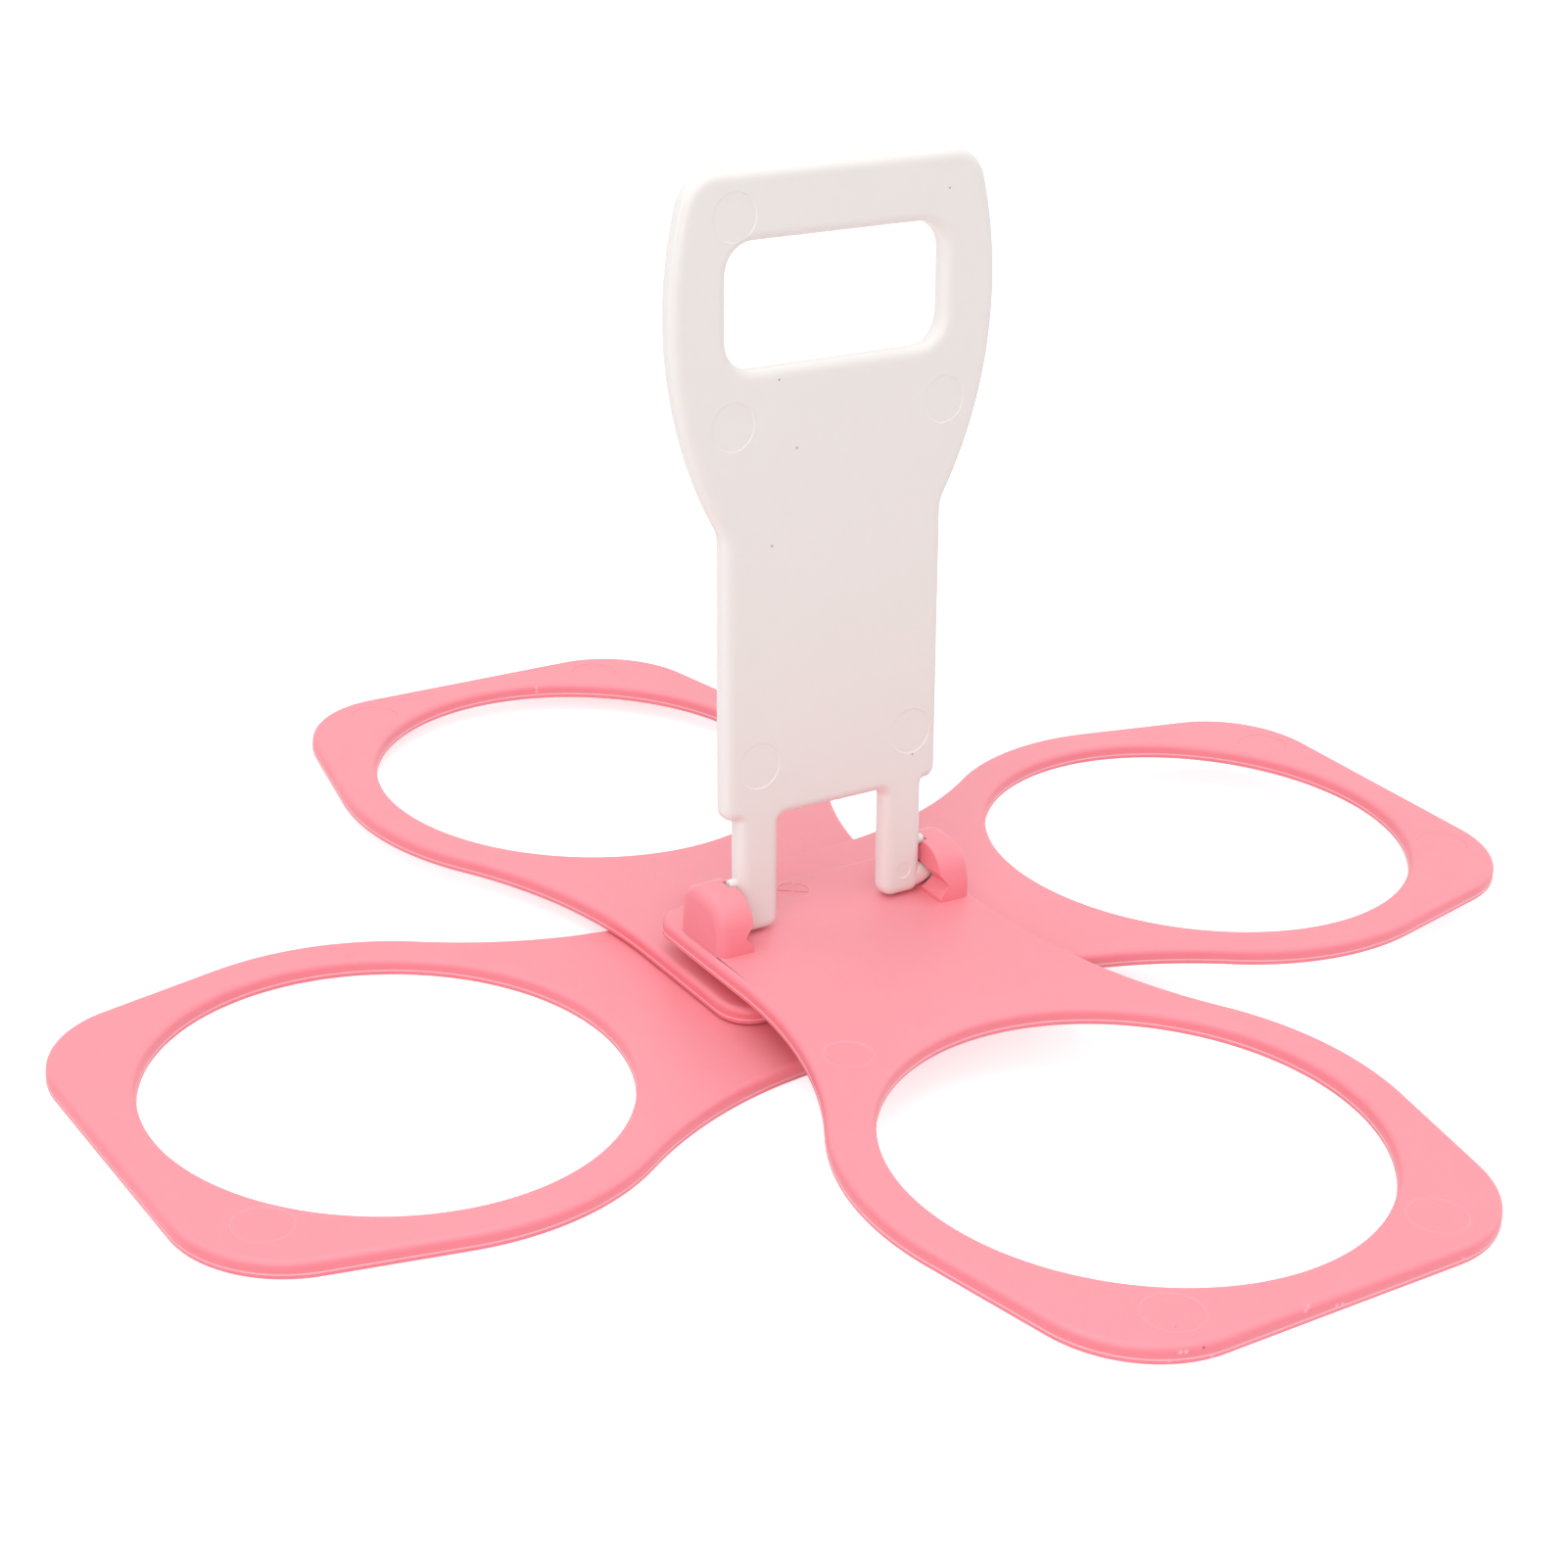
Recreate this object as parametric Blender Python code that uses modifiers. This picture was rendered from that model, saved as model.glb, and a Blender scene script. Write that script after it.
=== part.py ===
"""Fold-away drink carrier.

Four flat ring petals sit one above another on a single pivot and fan out to hold a cup each.
A two-legged handle snaps between two knuckles on the top petal and folds down over it.

The frame: Z is up, the carrier stands on Z = 0 and the pivot axis is X = Y = 0.
The top petal points to -Y, and the handle hinges about a line along X.
"""

import math

import bmesh
import bpy

MM = 0.001

# Petal outline, seen from above
HOLE_RADIUS = 40.0 * MM
RING_WALL = 8.0 * MM
END_WALL = 7.8 * MM
ARM_LENGTH = 85.0 * MM
CORNER_RADIUS = 20.0 * MM
SIDE_TAPER = math.radians(12.0)
WAIST_RADIUS = 80.0 * MM
HUB_WIDTH = 55.0 * MM
HUB_BACK = 14.3 * MM
HUB_CORNER = 6.0 * MM

# Petal plates and the way they stack
PLATE = 3.0 * MM
PLATE_EDGE = 1.0 * MM
PLATE_GAP = 0.3 * MM
FAN_ANGLE = math.radians(90.0)

# Pivot: a boss under the top petal, closed from below by a pressed-in cap
BOSS_RADIUS = 5.8 * MM
BOSS_BORE_RADIUS = 3.6 * MM
CAP_RADIUS = 8.4 * MM
CAP_PLATE = 1.1 * MM
CAP_EDGE = 0.3 * MM
CAP_SET_IN = 0.25 * MM
STEM_LENGTH = 7.0 * MM
STEM_LEAD = 0.8 * MM

# Fan stops: a lug under each petal runs in a groove in the petal below
GROOVE_WIDTH = 2.6 * MM
GROOVE_DEPTH = 1.3 * MM
GROOVE_FLOOR_GAP = 0.4 * MM
LUG_LENGTH = 3.0 * MM

# Handle outline, measured from the hinge line
HANDLE_PLATE = 4.4 * MM
HANDLE_EDGE = 1.6 * MM
HANDLE_REACH = 127.3 * MM
LEG_WIDTH = 7.5 * MM
CROTCH_REACH = 17.7 * MM
SHOULDER_REACH = 18.1 * MM
SHOULDER_SLOPE = 0.3 * MM
FOOT_REACH = 2.5 * MM
FOOT_CORNER = 1.8 * MM
SHOULDER = 2.9 * MM
SHOULDER_CORNER = 1.9 * MM
SHOULDER_FILLET = 0.9 * MM
CROTCH_FILLET = 1.5 * MM
FLARE = 10.0 * MM
FLARE_RADIUS = 70.0 * MM
FLARE_REACH = 104.2 * MM
NECK_RADIUS = 5.0 * MM
TOP_CORNER = 6.5 * MM
GRIP_WALL = 10.5 * MM
TOP_WALL = 11.4 * MM
SLOT_HEIGHT = 20.7 * MM
SLOT_CORNER = 5.0 * MM
LEAN = math.radians(5.0)

# Hinge: tapered pegs and stop nubs on the legs, knuckles on the top petal
HINGE_BACK = 0.6 * MM
LEG_GAP = 0.6 * MM
PEG_ROOT_RADIUS = 2.2 * MM
PEG_TIP_RADIUS = 1.2 * MM
PEG_LENGTH = 4.0 * MM
NUB_REACH = 6.3 * MM
NUB_RADIUS = 1.0 * MM
NUB_LENGTH = 2.8 * MM
KNUCKLE_WIDTH = 6.7 * MM
KNUCKLE_INSET = 1.25 * MM
KNUCKLE_FRONT = 7.4 * MM
KNUCKLE_REAR = 6.8 * MM
KNUCKLE_CROWN = 6.8 * MM
KNUCKLE_CREST = 2.0 * MM
KNUCKLE_REAR_CORNER = 3.8 * MM
KNUCKLE_EDGE = 1.6 * MM
KNUCKLE_ROOT = 2.0 * MM
NOTCH_HEIGHT = 4.4 * MM
NOTCH_DEPTH = 1.9 * MM

# Clearances between pieces
RUNNING_GAP = 0.3 * MM
SEAT_GAP = 0.3 * MM
OVERRUN = 1.0 * MM

# Facets: segments of each kind of arc
HOLE_STEPS = 72
CORNER_STEPS = 10
RING_STEPS = 8
WAIST_STEPS = 8
SMALL_STEPS = 4
FLARE_STEPS = 12
ROUND_STEPS = 40
PIN_STEPS = 24

SIDE_NAMES = {-1: "left", 1: "right"}

PINK = (0.90, 0.30, 0.36, 1.0)
WARM_WHITE = (0.80, 0.77, 0.74, 1.0)
PETAL_ROUGHNESS = 0.42
HANDLE_ROUGHNESS = 0.45
SMOOTH_ANGLE = math.radians(35.0)

# Sizes that follow from the ones above
RING_RADIUS = HOLE_RADIUS + RING_WALL
END_REACH = HOLE_RADIUS + END_WALL
HUB_HALF = HUB_WIDTH / 2
LEVEL = PLATE + PLATE_GAP
TOP_FACE = 3 * LEVEL + PLATE
PIVOT_HOLE_RADIUS = BOSS_RADIUS + RUNNING_GAP
RECESS_RADIUS = CAP_RADIUS + RUNNING_GAP
RECESS_DEPTH = CAP_SET_IN + CAP_PLATE + SEAT_GAP
GROOVE_RADIUS = (RECESS_RADIUS + HUB_BACK - PLATE_EDGE) / 2

HALF_PLATE = HANDLE_PLATE / 2
FOOT_SWING = math.hypot(HALF_PLATE - HANDLE_EDGE, FOOT_REACH - HANDLE_EDGE) + HANDLE_EDGE
AXIS_RISE = FOOT_SWING + RUNNING_GAP
AXIS_HEIGHT = TOP_FACE + AXIS_RISE
KNUCKLE_OUTER = HUB_HALF - KNUCKLE_INSET
KNUCKLE_INNER = KNUCKLE_OUTER - KNUCKLE_WIDTH
LEG_OUTER = KNUCKLE_INNER - LEG_GAP
LEG_INNER = LEG_OUTER - LEG_WIDTH
PEG_SLOPE_SHARE = (PEG_ROOT_RADIUS - PEG_TIP_RADIUS) / (PEG_LENGTH - LEG_GAP / 2)
SHANK_HALF = LEG_OUTER + SHOULDER
GRIP_HALF = SHANK_HALF + FLARE
SLOT_HALF = GRIP_HALF - GRIP_WALL
SLOT_TOP = HANDLE_REACH - TOP_WALL
SLOT_MIDDLE = SLOT_TOP - SLOT_HEIGHT / 2


def clear_scene():
    for thing in list(bpy.data.objects):
        bpy.data.objects.remove(thing, do_unlink=True)


def new_collection(name):
    group = bpy.data.collections.new(name)
    bpy.context.scene.collection.children.link(group)
    return group


def plastic(name, colour, roughness):
    material = bpy.data.materials.new(name)
    material.use_nodes = True
    shader = material.node_tree.nodes["Principled BSDF"]
    shader.inputs["Base Color"].default_value = colour
    shader.inputs["Roughness"].default_value = roughness
    shader.inputs["Metallic"].default_value = 0.0
    return material


def add_object(name, mesh, group, material=None):
    thing = bpy.data.objects.new(name, mesh)
    group.objects.link(thing)
    if material:
        mesh.materials.append(material)
    return thing


def add_cutter(name, mesh):
    return hide_cutter(add_object(name, mesh, CUTTERS))


def hide_cutter(thing):
    thing.hide_render = True
    thing.display_type = "WIRE"
    return thing


def arc(centre, radius, start, end, steps):
    """Points on an arc, both ends included; the angles are in radians."""
    turns = [start + (end - start) * i / steps for i in range(steps + 1)]
    return [(centre[0] + radius * math.cos(a), centre[1] + radius * math.sin(a)) for a in turns]


def rounded(corners):
    """A path through corners (x, y, radius), each turned into an arc where it has a radius."""
    points = []
    for i, (x, y, radius) in enumerate(corners):
        if not radius:
            points.append((x, y))
            continue
        before = corners[i - 1]
        after = corners[(i + 1) % len(corners)]
        a = math.atan2(before[1] - y, before[0] - x)
        b = math.atan2(after[1] - y, after[0] - x)
        half = ((b - a + math.pi) % (2 * math.pi) - math.pi) / 2
        reach = radius / math.sin(abs(half))
        centre = (x + reach * math.cos(a + half), y + reach * math.sin(a + half))
        facing = a + half + math.pi
        side = math.copysign(math.pi / 2 - abs(half), half)
        points += arc(centre, radius, facing + side, facing - side, SMALL_STEPS)
    return points


def mirrored(half, flip_x, flip_y):
    """Closes an outline: its half, then the mirror image of the half on the way back."""
    return half + [(flip_x * x, flip_y * y) for x, y in reversed(half)]


def unique(points):
    """The same outline without points that fall on their neighbour."""
    kept = []
    for point in points:
        if not kept or math.dist(point, kept[-1]) > PLATE_GAP / 100:
            kept.append(point)
    return kept


def outline_mesh(name, outlines, thickness, edge):
    """A plate from flat outlines, the holes among them, centred on Z = 0 with rounded edges."""
    curve = bpy.data.curves.new(name, "CURVE")
    curve.dimensions = "2D"
    curve.fill_mode = "BOTH"
    curve.extrude = thickness / 2 - edge
    curve.bevel_depth = edge
    curve.bevel_resolution = 1
    curve.offset = -edge
    for outline in outlines:
        points = unique(outline)
        spline = curve.splines.new("POLY")
        spline.points.add(len(points) - 1)
        for target, (x, y) in zip(spline.points, points):
            target.co = (x, y, 0.0, 1.0)
        spline.use_cyclic_u = True
    holder = bpy.data.objects.new(name, curve)
    bpy.context.scene.collection.objects.link(holder)
    graph = bpy.context.evaluated_depsgraph_get()
    mesh = bpy.data.meshes.new_from_object(holder.evaluated_get(graph))
    bpy.data.objects.remove(holder, do_unlink=True)
    bpy.data.curves.remove(curve)
    weld(mesh)
    return mesh


def weld(mesh):
    shape = bmesh.new()
    shape.from_mesh(mesh)
    bmesh.ops.remove_doubles(shape, verts=shape.verts, dist=PLATE_GAP / 100)
    bmesh.ops.dissolve_degenerate(shape, dist=PLATE_GAP / 100, edges=shape.edges)
    bmesh.ops.recalc_face_normals(shape, faces=shape.faces)
    shape.to_mesh(mesh)
    shape.free()


def rod_mesh(name, radius, low, high):
    """A round rod about Z, from the height low to the height high."""
    shape = bmesh.new()
    made = bmesh.ops.create_cone(
        shape, cap_ends=True, segments=ROUND_STEPS, radius1=radius, radius2=radius, depth=high - low
    )
    bmesh.ops.translate(shape, verts=made["verts"], vec=(0.0, 0.0, (low + high) / 2))
    return finish_mesh(name, shape)


def finish_mesh(name, shape):
    mesh = bpy.data.meshes.new(name)
    shape.to_mesh(mesh)
    shape.free()
    return mesh


def turned(name, profile, steps, group, material=None):
    """A solid turned about Z; its profile of (radius, height) runs down its outer side."""
    shape = bmesh.new()
    line = [shape.verts.new((radius, 0.0, height)) for radius, height in profile]
    for pair in zip(line, line[1:]):
        shape.edges.new(pair)
    thing = add_object(name, finish_mesh(name, shape), group, material)
    screw = thing.modifiers.new("turn", "SCREW")
    screw.steps = steps
    screw.render_steps = steps
    screw.use_merge_vertices = True
    screw.merge_threshold = PLATE_GAP / 100
    return thing


def box_mesh(name, low, high):
    shape = bmesh.new()
    made = bmesh.ops.create_cube(shape, size=1.0)
    size = [b - a for a, b in zip(low, high)]
    middle = [(a + b) / 2 for a, b in zip(low, high)]
    bmesh.ops.scale(shape, verts=made["verts"], vec=size)
    bmesh.ops.translate(shape, verts=made["verts"], vec=middle)
    return finish_mesh(name, shape)


def combine(target, tool, operation):
    """Adds a Boolean to the target; the tool is placed in the target's own frame."""
    tool.parent = target
    modifier = target.modifiers.new(tool.name, "BOOLEAN")
    modifier.operation = operation
    modifier.solver = "EXACT"
    modifier.object = tool


def smooth(thing):
    thing.data.shade_smooth()
    thing.data.set_sharp_from_angle(angle=SMOOTH_ANGLE)


def petal_outline():
    """A ring with a squared outer end, drawn in at the waist and square at the pivot."""
    corner_x = END_REACH - CORNER_RADIUS
    corner_y = (RING_RADIUS - CORNER_RADIUS - math.sin(SIDE_TAPER) * corner_x) / math.cos(SIDE_TAPER)
    square = math.pi / 2
    waist_y = HUB_HALF + WAIST_RADIUS
    waist_back = math.sqrt((RING_RADIUS + WAIST_RADIUS) ** 2 - waist_y ** 2)
    waist_x = ARM_LENGTH - waist_back
    leave = math.atan2(waist_y, -waist_back)
    half = arc((ARM_LENGTH + corner_x, corner_y), CORNER_RADIUS, 0.0, square - SIDE_TAPER, CORNER_STEPS)
    half += arc((ARM_LENGTH, 0.0), RING_RADIUS, square - SIDE_TAPER, leave, RING_STEPS)
    half += arc((waist_x, waist_y), WAIST_RADIUS, leave - math.pi, -square, WAIST_STEPS)
    hub = (HUB_CORNER - HUB_BACK, HUB_HALF - HUB_CORNER)
    half += arc(hub, HUB_CORNER, square, math.pi, SMALL_STEPS + 1)
    return mirrored(half, 1, -1)


def hole_outline():
    return list(reversed(arc((ARM_LENGTH, 0.0), HOLE_RADIUS, 0.0, 2 * math.pi, HOLE_STEPS)[:-1]))


def track_outline(width, start, end):
    """A slot bent round the pivot, with its ends square."""
    inner = arc((0.0, 0.0), GROOVE_RADIUS - width / 2, end, start, CORNER_STEPS)
    return arc((0.0, 0.0), GROOVE_RADIUS + width / 2, start, end, CORNER_STEPS) + inner


def add_petal(name, level, angle):
    """One petal plate, on its stacking level, with its arm turned to the angle."""
    mesh = outline_mesh(name, [petal_outline(), hole_outline()], PLATE, PLATE_EDGE)
    petal = add_object(name, mesh, PARTS, plastic(name + "_plastic", PINK, PETAL_ROUGHNESS))
    petal.location.z = level * LEVEL + PLATE / 2
    petal.rotation_euler.z = angle
    return petal


def add_lug(petal):
    """The stop under a petal, behind its pivot and off to one side."""
    reach = LUG_LENGTH / GROOVE_RADIUS
    start = math.pi - FAN_ANGLE / 2
    outline = track_outline(GROOVE_WIDTH - 2 * RUNNING_GAP, start - reach / 2, start + reach / 2)
    depth = PLATE_GAP + GROOVE_DEPTH - GROOVE_FLOOR_GAP
    height = depth + PLATE / 2
    tool = add_cutter(petal.name + "_lug", outline_mesh(petal.name + "_lug", [outline], height, 0.0))
    tool.location.z = -depth - PLATE / 2 + height / 2
    combine(petal, tool, "UNION")


def cut_groove(petal):
    """The track in a petal's top face: the lug above crosses it as this petal fans out."""
    reach = (LUG_LENGTH / 2 + RUNNING_GAP) / GROOVE_RADIUS
    start = math.pi - FAN_ANGLE / 2
    outline = track_outline(GROOVE_WIDTH, start - FAN_ANGLE - reach, start + reach)
    height = GROOVE_DEPTH + OVERRUN
    tool = add_cutter(petal.name + "_groove", outline_mesh(petal.name + "_groove", [outline], height, 0.0))
    tool.location.z = PLATE / 2 + OVERRUN - height / 2
    combine(petal, tool, "DIFFERENCE")


def cut_pivot_hole(petal):
    reach = PLATE / 2 + OVERRUN
    mesh = rod_mesh(petal.name + "_pivot_hole", PIVOT_HOLE_RADIUS, -reach, reach)
    combine(petal, add_cutter(mesh.name, mesh), "DIFFERENCE")


def cut_cap_recess(petal):
    """The shallow seat under the bottom petal that keeps the cap off the table."""
    tool = add_cutter("cap_recess", rod_mesh("cap_recess", RECESS_RADIUS, -OVERRUN, RECESS_DEPTH))
    tool.location.z = -PLATE / 2
    combine(petal, tool, "DIFFERENCE")


def add_boss(petal):
    """The tube under the top petal on which the other petals turn."""
    foot = RECESS_DEPTH - TOP_FACE + PLATE / 2
    boss = add_cutter("pivot_boss", rod_mesh("pivot_boss", BOSS_RADIUS, foot, 0.0))
    combine(petal, boss, "UNION")
    bore_top = foot + STEM_LENGTH + SEAT_GAP
    bore = add_cutter("pivot_bore", rod_mesh("pivot_bore", BOSS_BORE_RADIUS, foot - OVERRUN, bore_top))
    combine(petal, bore, "DIFFERENCE")


def add_cap():
    """A flanged plug: its stem fills the boss, and its flange holds the stack up."""
    top = CAP_SET_IN + CAP_PLATE
    stem = BOSS_BORE_RADIUS - SEAT_GAP
    profile = [
        (0.0, top + STEM_LENGTH),
        (stem - STEM_LEAD / 2, top + STEM_LENGTH),
        (stem, top + STEM_LENGTH - STEM_LEAD),
        (stem, top),
        (CAP_RADIUS - CAP_EDGE, top),
        (CAP_RADIUS, top - CAP_EDGE),
        (CAP_RADIUS, CAP_SET_IN + CAP_EDGE),
        (CAP_RADIUS - CAP_EDGE, CAP_SET_IN),
        (0.0, CAP_SET_IN),
    ]
    material = plastic("pivot_cap_plastic", PINK, PETAL_ROUGHNESS)
    return turned("pivot_cap", profile, ROUND_STEPS, PARTS, material)


def knuckle_outline():
    """The side view of a knuckle: upright behind, rounded over the top and down in front."""
    rise = AXIS_RISE + KNUCKLE_CROWN
    crest = KNUCKLE_REAR_CORNER - KNUCKLE_REAR + KNUCKLE_CREST
    run = KNUCKLE_FRONT - crest
    front = [(crest + run * x, rise * y) for x, y in arc((0.0, 0.0), 1.0, 0.0, math.pi / 2, CORNER_STEPS)]
    rear = (KNUCKLE_REAR_CORNER - KNUCKLE_REAR, rise - KNUCKLE_REAR_CORNER)
    back = arc(rear, KNUCKLE_REAR_CORNER, math.pi / 2, math.pi, SMALL_STEPS)
    return [(KNUCKLE_FRONT, -KNUCKLE_ROOT)] + front + back + [(-KNUCKLE_REAR, -KNUCKLE_ROOT)]


def stand_across(tool, side, reach):
    """Stands a flat outline up along the petal, at a distance to one side of its middle line."""
    tool.rotation_euler.x = math.pi / 2
    tool.location = (0.0, side * reach, PLATE / 2)


def add_knuckle(petal, side):
    """One knuckle: its outer edges are rounded, and its face towards the leg is cut flat."""
    name = SIDE_NAMES[side] + "_knuckle"
    width = KNUCKLE_WIDTH + 2 * KNUCKLE_EDGE
    tool = add_cutter(name, outline_mesh(name, [knuckle_outline()], width, KNUCKLE_EDGE))
    stand_across(tool, side, KNUCKLE_OUTER - width / 2)
    combine(petal, tool, "UNION")
    cut = width / 2 - 2 * KNUCKLE_EDGE
    ends = sorted((side * cut, side * (width / 2 + OVERRUN)))
    low = (-KNUCKLE_REAR - OVERRUN, -KNUCKLE_ROOT - OVERRUN, ends[0])
    high = (KNUCKLE_FRONT + OVERRUN, AXIS_RISE + KNUCKLE_CROWN + OVERRUN, ends[1])
    trim = add_cutter(name + "_trim", box_mesh(name + "_trim", low, high))
    combine(tool, trim, "DIFFERENCE")


def cut_socket(petal, side):
    """The tapered seat of a peg, and the notch in front of it through which the peg snaps in."""
    name = SIDE_NAMES[side]
    axis_z = PLATE / 2 + AXIS_RISE
    depth = PEG_LENGTH - LEG_GAP + RUNNING_GAP
    end = PEG_TIP_RADIUS + RUNNING_GAP
    mouth = end + PEG_SLOPE_SHARE * (depth + OVERRUN)
    profile = [(0.0, depth), (end, depth), (mouth, -OVERRUN), (0.0, -OVERRUN)]
    seat = hide_cutter(turned(name + "_socket", profile, PIN_STEPS, CUTTERS))
    seat.rotation_euler.x = -side * math.pi / 2
    seat.location = (-HINGE_BACK, side * KNUCKLE_INNER, axis_z)
    combine(petal, seat, "DIFFERENCE")
    half = NOTCH_HEIGHT / 2
    spread = half + OVERRUN * half / NOTCH_DEPTH
    wedge = [(-spread, -side * OVERRUN), (spread, -side * OVERRUN), (0.0, side * NOTCH_DEPTH)]
    length = KNUCKLE_FRONT + HINGE_BACK + OVERRUN
    notch = add_cutter(name + "_notch", outline_mesh(name + "_notch", [wedge], length, 0.0))
    notch.rotation_euler.y = math.pi / 2
    notch.location = (length / 2 - HINGE_BACK, side * KNUCKLE_INNER, axis_z)
    combine(petal, notch, "DIFFERENCE")


def cut_nub_track(petal, side):
    """The bent recess in which a nub travels; its rear end stops the handle as it stands."""
    name = SIDE_NAMES[side] + "_nub_track"
    inner = NUB_REACH - NUB_RADIUS - RUNNING_GAP
    outer = NUB_REACH + NUB_RADIUS + RUNNING_GAP
    spare = (NUB_RADIUS + RUNNING_GAP) / NUB_REACH
    start = math.pi / 2 + LEAN + spare
    ring = arc((0.0, 0.0), outer, start, -spare, CORNER_STEPS)
    ring += arc((0.0, 0.0), inner, -spare, start, CORNER_STEPS)
    points = [(x - HINGE_BACK, y + AXIS_RISE) for x, y in ring]
    depth = NUB_LENGTH - LEG_GAP + RUNNING_GAP
    width = depth + OVERRUN
    tool = add_cutter(name, outline_mesh(name, [points], width, 0.0))
    stand_across(tool, side, KNUCKLE_INNER + depth - width / 2)
    combine(petal, tool, "DIFFERENCE")


def handle_outline():
    """Legs, shank and grip; X runs across the handle and Y up from the hinge line."""
    flare_x = GRIP_HALF - FLARE_RADIUS
    neck_x = SHANK_HALF + NECK_RADIUS
    neck_y = FLARE_REACH - math.sqrt((FLARE_RADIUS + NECK_RADIUS) ** 2 - (neck_x - flare_x) ** 2)
    leave = math.atan2(neck_y - FLARE_REACH, neck_x - flare_x)
    top_y = HANDLE_REACH - TOP_CORNER
    top_x = flare_x + math.sqrt((FLARE_RADIUS - TOP_CORNER) ** 2 - (top_y - FLARE_REACH) ** 2)
    turn = math.atan2(top_y - FLARE_REACH, top_x - flare_x)
    half = rounded(
        [
            (0.0, CROTCH_REACH, 0.0),
            (LEG_INNER, CROTCH_REACH, CROTCH_FILLET),
            (LEG_INNER, -FOOT_REACH, FOOT_CORNER),
            (LEG_OUTER, -FOOT_REACH, FOOT_CORNER),
            (LEG_OUTER, SHOULDER_REACH, SHOULDER_FILLET),
            (SHANK_HALF, SHOULDER_REACH + SHOULDER_SLOPE, SHOULDER_CORNER),
            (SHANK_HALF, neck_y, 0.0),
        ]
    )
    half += arc((neck_x, neck_y), NECK_RADIUS, math.pi, leave + math.pi, SMALL_STEPS)
    half += arc((flare_x, FLARE_REACH), FLARE_RADIUS, leave, turn, FLARE_STEPS)
    half += arc((top_x, top_y), TOP_CORNER, turn, math.pi / 2, CORNER_STEPS)
    return mirrored(half[1:], -1, 1)


def slot_outline():
    low = SLOT_MIDDLE - SLOT_HEIGHT / 2
    corners = [
        (SLOT_HALF, low, SLOT_CORNER),
        (-SLOT_HALF, low, SLOT_CORNER),
        (-SLOT_HALF, SLOT_TOP, SLOT_CORNER),
        (SLOT_HALF, SLOT_TOP, SLOT_CORNER),
    ]
    return rounded(corners)


def add_pin(handle, name, side, reach, root, tip, length):
    """A round pin on the outer side of a leg, at a distance up from the hinge line."""
    sunk = -LEG_WIDTH / 2
    neck = LEG_GAP / 2
    profile = [(0.0, length), (tip, length), (root, neck), (root, sunk), (0.0, sunk)]
    pin = hide_cutter(turned(name, profile, PIN_STEPS, CUTTERS))
    pin.rotation_euler.y = side * math.pi / 2
    pin.location = (side * LEG_OUTER, reach, 0.0)
    combine(handle, pin, "UNION")


def add_handle():
    """The handle, its origin on the hinge line, leaning a little back as it stands."""
    hinge = bpy.data.objects.new("hinge_line", None)
    PARTS.objects.link(hinge)
    hinge.location = (0.0, HINGE_BACK, AXIS_HEIGHT)
    hinge.rotation_euler.x = math.pi / 2 - LEAN
    mesh = outline_mesh("handle", [handle_outline(), slot_outline()], HANDLE_PLATE, HANDLE_EDGE)
    material = plastic("handle_plastic", WARM_WHITE, HANDLE_ROUGHNESS)
    handle = add_object("handle", mesh, PARTS, material)
    handle.parent = hinge
    for side, name in SIDE_NAMES.items():
        add_pin(handle, name + "_peg", side, 0.0, PEG_ROOT_RADIUS, PEG_TIP_RADIUS, PEG_LENGTH)
        add_pin(handle, name + "_nub", side, NUB_REACH, NUB_RADIUS, NUB_RADIUS, NUB_LENGTH)
    return handle


clear_scene()
PARTS = new_collection("drink_carrier")
CUTTERS = new_collection("cutters")

front = add_petal("front_petal", 3, -FAN_ANGLE)
right = add_petal("right_petal", 2, 0.0)
back = add_petal("back_petal", 1, FAN_ANGLE)
left = add_petal("left_petal", 0, 2 * FAN_ANGLE)

for lower in (right, back, left):
    cut_pivot_hole(lower)
    cut_groove(lower)
for upper in (front, right, back):
    add_lug(upper)
add_boss(front)
for hand in SIDE_NAMES:
    add_knuckle(front, hand)
    cut_socket(front, hand)
    cut_nub_track(front, hand)
cut_cap_recess(left)
pivot_cap = add_cap()
grip = add_handle()

for piece in (front, right, back, left, pivot_cap, grip):
    smooth(piece)
bpy.context.view_layer.update()
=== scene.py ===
"""Looks of the fold-away drink carrier: four pink ring petals on one pivot and a white snap-in handle.

Every piece is modelled again over its solid, with the mould's own roundings, parting ledge, ejector
marks and hinge details, and gets its plastic. Lengths are in millimetres, and become metres by MM.
"""

import math

import bpy
from mathutils import Matrix, Vector


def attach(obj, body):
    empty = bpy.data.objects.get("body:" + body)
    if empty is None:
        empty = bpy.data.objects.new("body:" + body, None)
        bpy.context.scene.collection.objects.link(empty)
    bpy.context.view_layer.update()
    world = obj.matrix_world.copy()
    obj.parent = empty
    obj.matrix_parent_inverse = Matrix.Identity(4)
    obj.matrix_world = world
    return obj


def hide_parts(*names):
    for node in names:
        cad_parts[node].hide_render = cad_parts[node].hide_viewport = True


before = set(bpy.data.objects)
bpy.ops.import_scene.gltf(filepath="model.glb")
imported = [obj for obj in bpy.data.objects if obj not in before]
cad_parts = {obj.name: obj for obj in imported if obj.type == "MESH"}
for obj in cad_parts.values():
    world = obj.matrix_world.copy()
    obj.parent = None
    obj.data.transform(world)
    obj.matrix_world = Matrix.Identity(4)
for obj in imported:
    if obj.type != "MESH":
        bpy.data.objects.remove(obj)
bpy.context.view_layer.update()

MM = 0.001

# Points nearer than SAME_POINT are one point, and the ends of a drawn outline are joined over JOIN.
# A tool that cuts reaches SPARE past the surface, and a part that grows on reaches OVERLAP into it.
SAME_POINT = 0.002
JOIN = 0.004
SPARE = 1.0
OVERLAP = 1.0

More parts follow.
